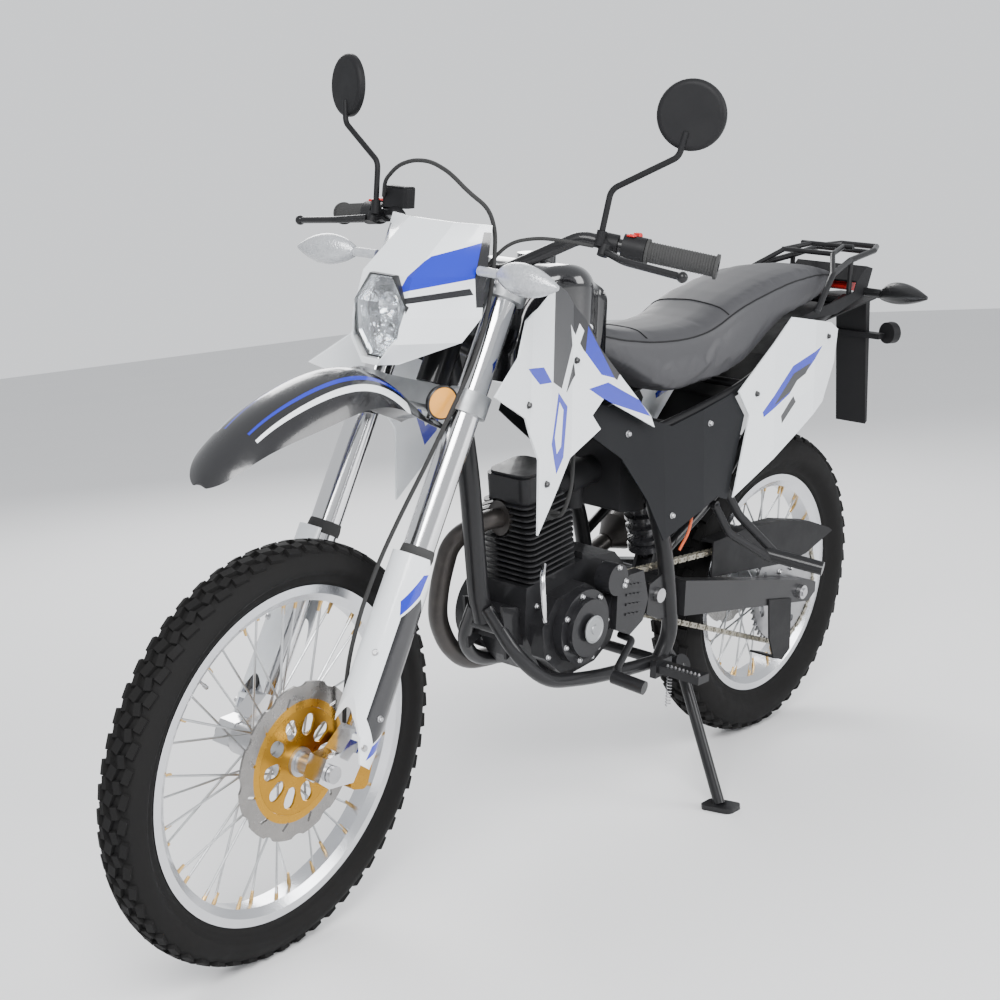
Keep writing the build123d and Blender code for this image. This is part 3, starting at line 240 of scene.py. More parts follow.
@dataclass(frozen=True)
class Finish:
    """A surface with mottled colour, uneven gloss and fine relief.

    The slot names the record's material slot and is not used. The patch is the mottle's size and
    the grain is the relief's, in millimetres.
    """

    name: str
    slot: str
    colour: Colour
    shade: Colour
    patch: float = 70.0
    rough: tuple[float, float] = (0.35, 0.5)
    metallic: float = 0.0
    coat: float = 0.0
    grain: float = 2.0
    bump: float = 0.15
    clear: float = 0.0
    shine: float = 0.5

    def paint(self, surface: Surface, colour: Socket) -> Socket:
        """Return the base colour, which a painted finish lays its patches over."""
        return colour

    def relief(self, surface: Surface) -> Socket:
        """Return the height that raises the fine grain."""
        return surface.graph.add("TexNoise", {
            "Vector": surface.where, "Scale": METRE / self.grain,
            "Detail": 3.0}).outputs["Fac"]

    def material(self, space: BikeSpace, zone: Zone = Zone.CHASSIS) -> bpy.types.Material:
        """Build the material once and return it again after that.

        Args:
            space: The motorcycle's axes.
            zone: The body that wears the finish.

        Returns:
            The finish as a Blender material.
        """
        known = bpy.data.materials.get(self.name)
        if known is not None:
            return known
        made = bpy.data.materials.new(self.name)
        graph = Graph(made)
        where = graph.add("TexCoord").outputs["Object"]
        surface = Surface(graph, where, space, zone)
        mottle = graph.add("TexNoise", {"Vector": where, "Scale": METRE / self.patch,
                                        "Detail": 5.0, "Roughness": 0.62}).outputs["Fac"]
        low, high = self.rough
        gloss = graph.add("MapRange", {"Value": mottle, "From Min": 0.3, "From Max": 0.7,
                                       "To Min": low, "To Max": high})
        height = graph.add("Bump", {"Height": self.relief(surface), "Strength": self.bump,
                                    "Distance": self.grain * RELIEF_SHARE})
        shader = graph.add("BsdfPrincipled", {
            "Base Color": self.paint(surface, graph.mix(mottle, self.colour, self.shade)),
            "Roughness": gloss.outputs["Result"], "Normal": height.outputs["Normal"],
            "Metallic": self.metallic, "Coat Weight": self.coat,
            "Coat Roughness": COAT_ROUGH, "Transmission Weight": self.clear,
            "Specular IOR Level": self.shine})
        graph.add("OutputMaterial", {"Surface": shader.outputs["BSDF"]})
        return made


@dataclass(frozen=True)
class TurnedFinish(Finish):
    """Ground metal with fine rings round a wheel's axle and perhaps a coloured core."""

    joint: str = "front_wheel_spin"
    core: float = 0.0
    core_colour: Colour = GOLD_TONE

    def reach(self, surface: Surface) -> Socket:
        """Return the distance from the axle, in metres."""
        joint = surface.space.joint(self.joint)
        arm = surface.graph.vector("SUBTRACT", surface.where, joint["pos_m"])
        side = surface.graph.vector("CROSS_PRODUCT", arm.outputs[0], joint["axis"])
        return surface.graph.vector("LENGTH", side.outputs[0]).outputs["Value"]

    def paint(self, surface: Surface, colour: Socket) -> Socket:
        """Return the colour, changed inside the core's radius."""
        if not self.core:
            return colour
        within = surface.graph.calc("LESS_THAN", self.reach(surface), self.core / METRE)
        return surface.graph.mix(within, colour, self.core_colour)

    def relief(self, surface: Surface) -> Socket:
        """Return rings by distance from the axle."""
        return surface.graph.add("TexNoise", {
            "W": self.reach(surface), "Scale": METRE / self.grain, "Detail": 4.0},
            noise_dimensions="1D").outputs["Fac"]


@dataclass(frozen=True)
class Patch:
    """One painted shape: a convex outline in the plane that its finish names."""

    colour: Colour
    outline: tuple[tuple[float, float], ...]

    def mask(self, surface: Surface, flat: tuple[int, int]) -> Socket:
        """Return 1 inside the outline and 0 outside it.

        Args:
            surface: What the patch is painted on.
            flat: Which two upright axes the outline is drawn in.

        Returns:
            The mask's socket.
        """
        graph, undo = surface.graph, surface.space.placement(surface.zone).inverted()
        rows, shifts = [Vector(undo[k][:3]) for k in flat], [undo[k][3] for k in flat]
        pairs = list(zip(self.outline, self.outline[1:] + self.outline[:1]))
        flip = 1 if sum(a[0] * b[1] - b[0] * a[1] for a, b in pairs) > 0 else -1
        inside = None
        for a, b in pairs:
            normal = ((a[1] - b[1]) * flip, (b[0] - a[0]) * flip)
            line = rows[0] * normal[0] + rows[1] * normal[1]
            limit = sum(n * (p - shift) for n, p, shift in zip(normal, a, shifts))
            along = graph.vector("DOT_PRODUCT", surface.where, line).outputs["Value"]
            within = graph.calc("GREATER_THAN", along, limit)
            inside = within if inside is None else graph.calc("MULTIPLY", inside, within)
        return inside


@dataclass(frozen=True)
class PaintedFinish(Finish):
    """Moulded plastic with hard-edged painted shapes on both sides."""

    patches: tuple[Patch, ...] = ()
    flat: tuple[int, int] = (0, 2)

    def paint(self, surface: Surface, colour: Socket) -> Socket:
        """Return the ground colour with each patch laid over it in turn."""
        for patch in self.patches:
            colour = surface.graph.mix(patch.mask(surface, self.flat), colour, patch.colour)
        return colour


def white_plastic(name: str, *patches: Patch, flat: tuple[int, int] = (0, 2)) -> PaintedFinish:
    """Return gloss white plastic with painted patches.

    Args:
        name: The finish's name.
        patches: What is painted on it, the lowest first.
        flat: Which two upright axes the patches are drawn in.

    Returns:
        The finish.
    """
    return PaintedFinish(name, "white_plastic", WHITE, WHITE_SHADE, 120, (0.14, 0.24), coat=0.5,
                         grain=10, bump=0.04, patches=patches, flat=flat)


def fork_outline(*places: tuple[float, float]) -> tuple[tuple[float, float], ...]:
    """Return side-plane points from (ahead, up) distances on the steering line."""
    foot_x, foot_z = 1335.3, 314.4
    return tuple((foot_x + s * math.cos(RAKE) - h * math.sin(RAKE),
                  foot_z + s * math.sin(RAKE) + h * math.cos(RAKE)) for s, h in places)


def fender_stripe(colour: Colour, side: int, inner: float, wide: float) -> Patch:
    """Return a stripe along the front fender that narrows towards its nose.

    Args:
        colour: The stripe's colour.
        side: 1 on the left, -1 on the right.
        inner: Its distance from the ridge at the back.
        wide: Its width at the back.

    Returns:
        The stripe, seen from above.
    """
    back, nose, drift = 1180, 1500, 16
    return Patch(colour, ((back, side * inner), (back, side * (inner + wide)),
                          (nose, side * (inner - drift + wide * 0.4)),
                          (nose, side * (inner - drift))))


TYRE = Finish("tyre", "tyre_rubber", (0.008, 0.008, 0.0085), (0.014, 0.0135, 0.013), 40,
              (0.62, 0.86), grain=1.4, bump=0.35, shine=0.09)
RIM = Finish("rim", "rim_black", (0.72, 0.73, 0.75), (0.62, 0.63, 0.66), 90, (0.16, 0.27), 1.0,
             grain=5, bump=0.05)
HUB = Finish("hub", "hub_alloy", (0.6, 0.61, 0.62), (0.45, 0.46, 0.47), 30, (0.3, 0.5), 1.0,
             grain=1.6)
DISC = TurnedFinish("disc", "disc_steel", (0.34, 0.33, 0.32), (0.22, 0.21, 0.2), 30,
                    (0.2, 0.36), 1.0, grain=1.3, bump=0.25, core=101.0)
REAR_DISC = TurnedFinish("rear_disc_steel", "disc_steel", (0.34, 0.34, 0.33),
                         (0.22, 0.21, 0.2), 30, (0.2, 0.36), 1.0, grain=1.3, bump=0.25,
                         joint="rear_wheel_spin")
GOLD = Finish("gold", "carrier_gold", GOLD_TONE, (0.42, 0.21, 0.02), 35, (0.24, 0.36), 1.0,
              grain=1.5)
SPROCKET = TurnedFinish("sprocket", "sprocket_alloy", (0.42, 0.42, 0.43), (0.3, 0.3, 0.31), 26,
                        (0.3, 0.46), 1.0, grain=1.4, joint="rear_wheel_spin")
CAST = Finish("cast_alloy", "clamp_alloy", (0.42, 0.43, 0.44), (0.34, 0.35, 0.36), 34,
              (0.38, 0.56), 1.0, grain=1.1, bump=0.3)
SWINGARM = Finish("swingarm_paint", "clamp_alloy", (0.015, 0.015, 0.016),
                  (0.0225, 0.0225, 0.024), 60, (0.28, 0.42), coat=0.25, grain=1.4, shine=0.135)
CHROME = Finish("fork_chrome", "fork_chrome", (0.72, 0.73, 0.75), (0.66, 0.67, 0.7), 60,
                (0.13, 0.22), 1.0, grain=4, bump=0.04)
SATIN = Finish("satin_black", "black_metal", (0.009, 0.009, 0.01), (0.016, 0.016, 0.017), 50,
               (0.3, 0.45), coat=0.3, grain=1.5, shine=0.135)
STEEL = Finish("zinc_steel", "axle_steel", (0.55, 0.55, 0.56), (0.42, 0.42, 0.43), 14,
               (0.25, 0.42), 1.0, grain=0.9)
BLACK_PLASTIC = Finish("grained_plastic", "black_plastic", (0.01, 0.01, 0.011),
                       (0.016, 0.016, 0.017), 45, (0.42, 0.6), grain=0.9, bump=0.35,
                       shine=0.135)
SIDE_COVER = Finish("side_cover_plastic", "black_plastic", (0.009, 0.0095, 0.011),
                    (0.015, 0.0155, 0.017), 80, (0.34, 0.5), grain=0.8, bump=0.3, shine=0.113)
TANK = Finish("tank_gloss", "gloss_black", (0.007, 0.007, 0.008), (0.011, 0.011, 0.0125), 120,
              (0.1, 0.18), coat=0.8, grain=12, bump=0.03)
LENS = Finish("clear_lens", "lamp_glass", (0.93, 0.95, 0.96), (0.88, 0.91, 0.93), 30,
              (0.02, 0.06), clear=0.95, grain=6, bump=0.02)
MIRROR = Finish("silvered_glass", "mirror_face", (0.9, 0.9, 0.9), (0.86, 0.88, 0.9), 80,
                (0.01, 0.03), 1.0, grain=20, bump=0.01)
BOWL = Finish("reflector_bowl", "lamp_glass", (0.9, 0.9, 0.91), (0.8, 0.81, 0.83), 18,
              (0.06, 0.16), 1.0, grain=7, bump=0.5)
GRIP = Finish("grip_rubber", "grip_rubber", (0.009, 0.009, 0.0095), (0.015, 0.015, 0.0155), 20,
              (0.6, 0.82), grain=1.8, bump=0.5, shine=0.135)
HOSE = Finish("hose_rubber", "hose_rubber", (0.007, 0.007, 0.0075), (0.013, 0.013, 0.0135), 15,
              (0.42, 0.6), grain=1.6, bump=0.35, shine=0.135)
ENGINE = Finish("engine_paint", "engine_black", (0.009, 0.009, 0.01), (0.02, 0.02, 0.0215), 26,
                (0.36, 0.58), coat=0.15, grain=0.9, bump=0.4, shine=0.113)
COVERS = Finish("engine_covers_paint", "engine_black", (0.01, 0.01, 0.011),
                (0.018, 0.018, 0.02), 34, (0.26, 0.44), coat=0.3, grain=0.9, bump=0.3,
                shine=0.135)
PIPE = Finish("exhaust_paint", "exhaust_steel", (0.015, 0.015, 0.016), (0.075, 0.066, 0.06), 45,
              (0.3, 0.5), 0.6, grain=1.2, bump=0.25)
CHAIN = Finish("chain_steel", "chain_steel", (0.2, 0.18, 0.15), (0.1, 0.09, 0.08), 9,
               (0.3, 0.55), 1.0, grain=0.8, bump=0.3)
SPRING = Finish("spring_paint", "shock_spring", (0.015, 0.015, 0.0165), (0.05, 0.05, 0.055), 25,
                (0.2, 0.34), coat=0.5, grain=1.2)
SEAT = Finish("seat_cover", "seat_cover", (0.008, 0.008, 0.009), (0.013, 0.013, 0.014), 55,
              (0.46, 0.64), grain=1.1, bump=0.7, shine=0.099)
PIPING = Finish("seat_piping", "seat_cover", (0.01, 0.01, 0.011), (0.017, 0.017, 0.018), 20,
                (0.42, 0.6), grain=1.0, bump=0.4, shine=0.135)
AMBER = Finish("amber_lens", "amber_lens", (0.55, 0.085, 0.002), (0.4, 0.05, 0.001), 9,
               (0.08, 0.2), coat=0.6, grain=3.2, bump=0.7)
RED = Finish("red_lens", "red_lens", (0.5, 0.01, 0.008), (0.36, 0.006, 0.006), 9, (0.08, 0.2),
             coat=0.6, grain=3.2, bump=0.7)
HOUSING = Finish("lamp_housing", "black_plastic", (0.007, 0.007, 0.0075), (0.012, 0.012, 0.013),
                 30, (0.24, 0.4), grain=1.0)
INDICATOR = Finish("indicator_lens", "amber_lens", (0.6, 0.62, 0.64), (0.3, 0.31, 0.33), 7,
                   (0.06, 0.16), 0.3, coat=0.7, grain=3.0, bump=0.9)
SWITCH_RED = Finish("switch_red", "black_plastic", (0.55, 0.012, 0.01), (0.45, 0.01, 0.01), 10,
                    (0.3, 0.42))
BRASS = Finish("brass", "hub_alloy", (0.75, 0.5, 0.2), (0.55, 0.36, 0.14), 8, (0.25, 0.4), 1.0,
               grain=0.9)
LEAD = Finish("ignition_lead", "hose_rubber", (0.55, 0.09, 0.02), (0.42, 0.07, 0.02), 12,
              (0.4, 0.55), grain=1.4)
PAPER = Finish("floor_paper", "", (0.88, 0.88, 0.88), (0.85, 0.85, 0.86), 900, (0.6, 0.75),
               grain=3, bump=0.03)
SHROUD = white_plastic(
    "shroud_plastic",
    Patch(INK, ((880, 1055), (812, 1000), (700, 895), (712, 880), (818, 944), (900, 1040))),
    Patch(INK, ((900, 1070), (870, 1040), (842, 905), (872, 880), (926, 905), (930, 1064))),
    Patch(BLUE, ((1040, 1015), (960, 935), (846, 925), (836, 900), (972, 908), (1060, 975))),
    Patch(BLUE, ((806, 985), (780, 955), (720, 885), (762, 896), (812, 940))),
    Patch(WHITE, ((832, 992), (818, 978), (876, 878), (892, 890))),
    Patch(BLUE, ((740, 880), (640, 836), (600, 800), (742, 846), (800, 876))),
    Patch(BLUE, ((905, 885), (868, 855), (880, 770), (905, 745), (925, 800))),
    Patch(WHITE, ((900, 868), (884, 852), (890, 790), (905, 780), (914, 810))))
TAIL = white_plastic(
    "tail_plastic",
    Patch(BLUE, ((226, 760), (100, 838), (-60, 868), (-90, 846), (90, 790), (210, 722))),
    Patch(INK, ((178, 770), (96, 822), (-100, 856), (-72, 836), (60, 800), (120, 750))),
    Patch(WHITE, ((140, 764), (80, 806), (-90, 846), (-60, 806), (50, 772))),
    Patch(INK, ((150, 742), (96, 776), (84, 762), (146, 726))))
MASK = white_plastic(
    "mask_plastic",
    Patch(INK, ((-104, 1150), (-94, 1150), (-108, 1040), (-120, 1040))),
    Patch(BLUE, ((96, 1140), (52, 1118), (30, 1060), (104, 1086))),
    Patch(BLUE, ((-96, 1140), (-78, 1118), (-86, 1060), (-104, 1086))),
    Patch(INK, ((104, 1156), (94, 1156), (108, 1040), (120, 1040))),
    Patch(INK, ((100, 1070), (18, 1048), (22, 1040), (104, 1060))), flat=(1, 2))
GUARD = white_plastic(
    "guard_plastic",
    Patch(INK, fork_outline((50, 262), (26, 300), (-2, 268), (0, 92), (28, 62), (52, 96))),
    Patch(BLUE, fork_outline((26, 340), (36, 336), (56, 286), (52, 264), (30, 304))),
    Patch(BLUE, fork_outline((-2, 88), (28, 58), (32, 34), (-6, 66))))
FENDER = PaintedFinish(
    "fender_plastic", "gloss_black", (0.007, 0.007, 0.008), (0.012, 0.012, 0.0135), 90,
    (0.18, 0.3), coat=0.5, grain=6, bump=0.05, flat=(0, 1),
    patches=tuple(fender_stripe(colour, side, inner, wide) for side in (1, -1)
                  for colour, inner, wide in ((WHITE, 54, 12), (BLUE, 38, 10))))

NODE_FINISHES: dict[Finish, str] = {
    TYRE: "front_tyre rear_tyre", RIM: "front_rim rear_rim", HUB: "front_hub rear_hub",
    DISC: "front_disc", REAR_DISC: "rear_disc", GOLD: "front_disc_carrier front_caliper",
    SPROCKET: "rear_sprocket", CAST: "fork_clamps", SWINGARM: "swingarm",
    SATIN: "handlebar levers side_stand frame subframe rack footrests passenger_footrests "
           "foot_levers rear_caliper",
    CHROME: "fork_tubes fork_legs", STEEL: "front_axle rear_axle pivot_bolt output_sprocket",
    TANK: "tank", SIDE_COVER: "side_covers", LENS: "headlight", MIRROR: "mirror_glass",
    BLACK_PLASTIC: "instrument controls mirrors intake airbox chain_guard tail_cover "
                   "rear_fender",
    GRIP: "grips", HOSE: "brake_hose clutch_cable", HOUSING: "rear_indicators",
    INDICATOR: "front_indicators", ENGINE: "crankcase cylinder", COVERS: "engine_covers",
    PIPE: "exhaust", CHAIN: "chain", SPRING: "rear_shock", SEAT: "seat", RED: "tail_light",
    SHROUD: "shrouds", TAIL: "tail_panels", MASK: "headlight_mask", FENDER: "front_fender",
    GUARD: "fork_guards"}


# Mesh shapes


def cross_axes(axis: Vector) -> tuple[Vector, Vector]:
    """Return two unit directions square to an axis."""
    helper = UP if abs(axis.normalized().z) < 0.9 else AHEAD
    first = axis.cross(helper).normalized()
    return first, axis.cross(first).normalized()


def smooth_line(points: Sequence[Sequence[float]], steps: int = 6) -> list[Vector]:
    """Return a smooth line through given points.

    Args:
        points: The points it goes through.
        steps: How many parts each run is drawn with.

    Returns:
        The line's points.
    """
    ends = [Vector(p) for p in points]
    ends = [ends[0] * 2 - ends[1], *ends, ends[-1] * 2 - ends[-2]]
    line = []
    for a, b, c, d in zip(ends, ends[1:], ends[2:], ends[3:]):
        for step in range(steps):
            t = step / steps
            line.append(0.5 * (2 * b + (c - a) * t + (2 * a - 5 * b + 4 * c - d) * t * t
                               + (3 * b - a - 3 * c + d) * t ** 3))
    return [*line, ends[-2]]


class Shape:
    """The faces of one fitting, gathered in millimetres.

    Each method that adds faces returns the shape itself.
    """

    def __init__(self) -> None:
        """Start with nothing."""
        self.points: list[Vector] = []
        self.faces: list[tuple[int, ...]] = []

    def rings(self, rings: list[list[Vector]], loop: bool = False) -> Shape:
        """Skin closed rings of equally many points, with flat ends unless they loop."""
        start, count = len(self.points), len(rings[0])
        self.points.extend(point for ring in rings for point in ring)
        pairs = [(i, i + 1) for i in range(len(rings) - 1)]
        pairs += [(len(rings) - 1, 0)] if loop else []
        for a, b in pairs:
            for k in range(count):
                after = (k + 1) % count
                self.faces.append((start + a * count + k, start + a * count + after,
                                   start + b * count + after, start + b * count + k))
        if not loop:
            last = start + (len(rings) - 1) * count
            self.faces.append(tuple(range(start + count - 1, start - 1, -1)))
            self.faces.append(tuple(range(last, last + count)))
        return self

    def lathe(self, profile: Iterable[tuple[float, float]], origin: Vector, axis: Vector,
              sides: int = 24, loop: bool = False) -> Shape:
        """Turn a profile about an axis.

        Args:
            profile: (radius, distance along the axis) of each ring.
            origin: Where the axis starts.
            axis: Which way it runs.
            sides: How many sides go round.
            loop: Whether the profile closes on itself.

        Returns:
            The shape itself.
        """
        axis, least = axis.normalized(), 0.02
        right, front = cross_axes(axis)
        turns = [math.tau * k / sides for k in range(sides)]
        return self.rings([[origin + axis * along + max(radius, least)
                            * (right * math.cos(turn) + front * math.sin(turn))
                            for turn in turns] for radius, along in profile], loop)

    def tube(self, line: Sequence[Vector], radius: float, sides: int = 10) -> Shape:
        """Sweep a circle along a line of points.

        Args:
            line: The points it follows.
            radius: The tube's radius.
            sides: How many sides go round.

        Returns:
            The shape itself.
        """
        right, rings = None, []
        turns = [math.tau * k / sides for k in range(sides)]
        for k, point in enumerate(line):
            heading = (line[min(k + 1, len(line) - 1)] - line[max(k - 1, 0)]).normalized()
            right = cross_axes(heading)[0] if right is None else (
                right - heading * right.dot(heading)).normalized()
            front = heading.cross(right)
            rings.append([point + radius * (right * math.cos(turn) + front * math.sin(turn))
                          for turn in turns])
        return self.rings(rings)

    def prism(self, outline: Sequence[tuple[float, float]], origin: Vector, right: Vector,
              up: Vector, deep: float) -> Shape:
        """Give a flat outline a thickness, square to its plane.

        Args:
            outline: (right, up) of each corner.
            origin: Where the outline's own zero stands.
            right: The outline's first direction.
            up: Its second direction.
            deep: The thickness, along right cross up.

        Returns:
            The shape itself.
        """
        right, up = right.normalized(), up.normalized()
        base = [origin + right * a + up * b for a, b in outline]
        return self.rings([base, [p + right.cross(up) * deep for p in base]])

    def block(self, centre: Vector, size: Sequence[float], right: Vector = AHEAD,
              up: Vector = UP, draft: float = 1.0) -> Shape:
        """Add a block that may narrow along its own normal.

        Args:
            centre: Its middle.
            size: Its length along right, along up and along right cross up.
            right: Its first direction.
            up: Its second direction.
            draft: The far face's size as a share of the near one.

        Returns:
            The shape itself.
        """
        right, up = right.normalized(), up.normalized()
        corners = ((-0.5, -0.5), (0.5, -0.5), (0.5, 0.5), (-0.5, 0.5))
        return self.rings([[centre + right.cross(up) * size[2] * share
                            + right * a * size[0] * scale + up * b * size[1] * scale
                            for a, b in corners] for share, scale in ((-0.5, 1.0), (0.5, draft))])

    def bolt(self, seat: Vector, axis: Vector, width: float = 8.0) -> Shape:
        """Add a hexagon head on its round flange.

        Args:
            seat: The middle of what it presses on.
            axis: Which way it faces.
            width: The width across the head.

        Returns:
            The shape itself.
        """
        half = width / 2
        self.lathe(((half * 1.35, -1), (half * 1.35, 0.8), (half * 1.15, 1.6)), seat, axis, 18)
        return self.lathe(((half * 1.12, 1.4), (half * 1.12, width * 0.5),
                           (half * 0.92, width * 0.62)), seat, axis, 6)


# Sub-assemblies


def spoke_way(turn: float) -> Vector:
    """Return the direction from an axle at an angle in the wheel's plane."""
    return Vector((math.cos(turn), 0, math.sin(turn)))


def circle(x: float, z: float, radius: float, count: int,
           phase: float = 0.0) -> list[tuple[float, float]]:
    """Return (x, z) places evenly round a circle, the first one phase steps on."""
    ways = [spoke_way(math.tau * (k + phase) / count) for k in range(count)]
    return [(x + radius * way.x, z + radius * way.z) for way in ways]


def mirrored(point: Vector, sense: int) -> Vector:
    """Return a left-side point, or its twin on the right where the sense is -1."""
    return Vector((point.x, point.y * sense, point.z))


@dataclass
class Assembly:
    """A group of fittings that rides on a body of the motorcycle."""

    space: BikeSpace
    zone: Zone

    def find(self, node: str, start: Vector, heading: Vector, reach: float = 600.0,
             zone: Zone | None = None) -> list[tuple[Vector, Vector]]:
        """Look for the place where a straight line first meets a frame piece.

        Args:
            node: The frame piece to meet.
            start: Where the line starts.
            heading: Which way it runs.
            reach: How far it runs.
            zone: The piece's body, where it is not the assembly's own.

        Returns:
            One point with its outward normal, or nothing where the line misses.
        """
        hit = self.space.touch(node, zone or self.zone, start, heading, reach)
        return [hit] if hit else []

    def emit(self, shape: Shape, name: str, finish: Finish, *replaces: str,
             zone: Zone | None = None, slot: str = "", bevel: float = 0.0,
             sharp: float = 38.0) -> bpy.types.Object | None:
        """Make a piece in the parked frame and set it riding.

        Args:
            shape: Its faces, which may be none.
            name: Its name.
            finish: What covers it.
            replaces: The frame nodes that it stands for.
            zone: The body it rides on, where it is not the assembly's own.
            slot: The record's material slot, where it is not the finish's own. It is not used.
            bevel: How far its sharp edges are broken.
            sharp: The angle above which an edge stays sharp, in degrees.

        Returns:
            The new object, or None for a shape without faces.
        """
        if not shape.faces:
            return None
        zone, least_turn = zone or self.zone, 0.6
        placed, mesh, work = self.space.placement(zone), bpy.data.meshes.new(name), bmesh.new()
        mesh.from_pydata([tuple(placed @ point) for point in shape.points], [], shape.faces)
        work.from_mesh(mesh)
        bmesh.ops.recalc_face_normals(work, faces=work.faces)
        if bevel:
            edges = [edge for edge in work.edges if edge.calc_face_angle(0.0) > least_turn]
            bmesh.ops.bevel(work, geom=edges, offset=bevel / METRE, segments=1,
                            affect="EDGES", clamp_overlap=True)
        work.to_mesh(mesh)
        work.free()
        mesh.shade_smooth()
        mesh.set_sharp_from_angle(angle=math.radians(sharp))
        mesh.materials.append(finish.material(self.space, zone))
        piece = bpy.data.objects.new(name, mesh)
        bpy.context.scene.collection.objects.link(piece)
        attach(piece, zone.value)
        if replaces:
            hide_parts(*replaces)
        log.info("%s: %d faces", name, len(mesh.polygons))
        return piece


@dataclass
class Wheel(Assembly):
    """A spoked wheel's block tyre, nipples and valve.

    A row of blocks is its lean in degrees, the blocks' width and length, their skew in
    degrees and the row's start as a share of a step.
    """

    joint: str
    radius: float
    width: float
    crown: float
    rim_radius: float
    rim_width: float
    blocks: int
    rows: tuple[tuple[float, float, float, float, float], ...]
    lug: float = 7.0
    lug_root: float = 2.4
    lug_sunk: float = 1.2
    lug_draft: float = 0.86
    spokes: int = 36
    nipple_seat: float = 29.0
    nipple_side: float = 7.0
    valve_seat: float = 24.0

    def carcass(self, shape: Shape, centre: Vector) -> None:
        """Turn the tyre's casing, from the tread's floor to the bead."""
        half, side, rim = self.width / 2, self.rim_width / 2, self.rim_radius
        sweep, parts = math.asin((half - 6) / self.crown), 8
        base, floor = self.radius - self.crown, self.crown - self.lug
        tread = [(base + floor * math.cos(a), floor * math.sin(a))
                 for a in [sweep * (k / parts) for k in range(-parts, parts + 1)]]
        low, edge = tread[-1]
        wall = smooth_line(((low, edge, 0), (low - 14, half - 2, 0),
                            ((low + rim) / 2, half - 1, 0), (rim + 16, side + 5, 0),
                            (rim + 7, side + 3, 0), (rim - 1, side - 3, 0)), 4)
        left = [(p.x, p.y) for p in wall[1:]]
        right = [(r, -y) for r, y in reversed(left)]
        shape.lathe([*right, *tread, *left], centre, LEFT, 96, loop=True)

    def tread(self, shape: Shape, centre: Vector) -> None:
        """Stand the tread blocks on the casing, row by row."""
        tall = self.lug + self.lug_root
        for lean, wide, long, skew, phase in self.rows:
            tilt, turn = math.radians(lean), math.radians(skew)
            for k in range(self.blocks):
                angle = math.tau * (k + phase) / self.blocks
                out, around = spoke_way(angle), spoke_way(angle + math.pi / 2)
                normal = out * math.cos(tilt) + LEFT * math.sin(tilt)
                across = LEFT * math.cos(tilt) - out * math.sin(tilt)
                first = around * math.cos(turn) + across * math.sin(turn)
                middle = (centre + out * (self.radius - self.crown)
                          + normal * (self.crown - tall / 2 - self.lug_sunk))
                shape.block(middle, (long, wide, tall), first, normal.cross(first),
                            self.lug_draft)

    def build(self) -> None:
        """Make the tyre in place of the plain one, then the nipples and the valve."""
        centre = self.space.joint_point(self.joint, self.zone)
        tyre, nipples, end = Shape(), Shape(), self.zone.value.split("_")[0]
        self.carcass(tyre, centre)
        self.tread(tyre, centre)
        self.emit(tyre, end + "_block_tyre", TYRE, end + "_tyre", sharp=34)
        for k in range(self.spokes):
            out = spoke_way(math.tau * k / self.spokes)
            side = LEFT * (self.nipple_side if k % 2 else -self.nipple_side)
            nipples.lathe(((2.6, -16), (2.8, -6), (3.4, -2), (3.4, 3)),
                          centre + out * (self.rim_radius - self.nipple_seat) + side, out, 8)
        self.emit(nipples, end + "_nipples", BRASS)
        out = spoke_way(math.tau * 4.5 / self.spokes)
        self.emit(Shape().lathe(
            ((3.2, 0), (3.2, 12), (2.4, 13), (2.4, 30), (3.4, 30), (3.4, 38), (2.6, 39)),
            centre + out * (self.rim_radius - self.valve_seat), -out, 12),
            end + "_valve", STEEL)


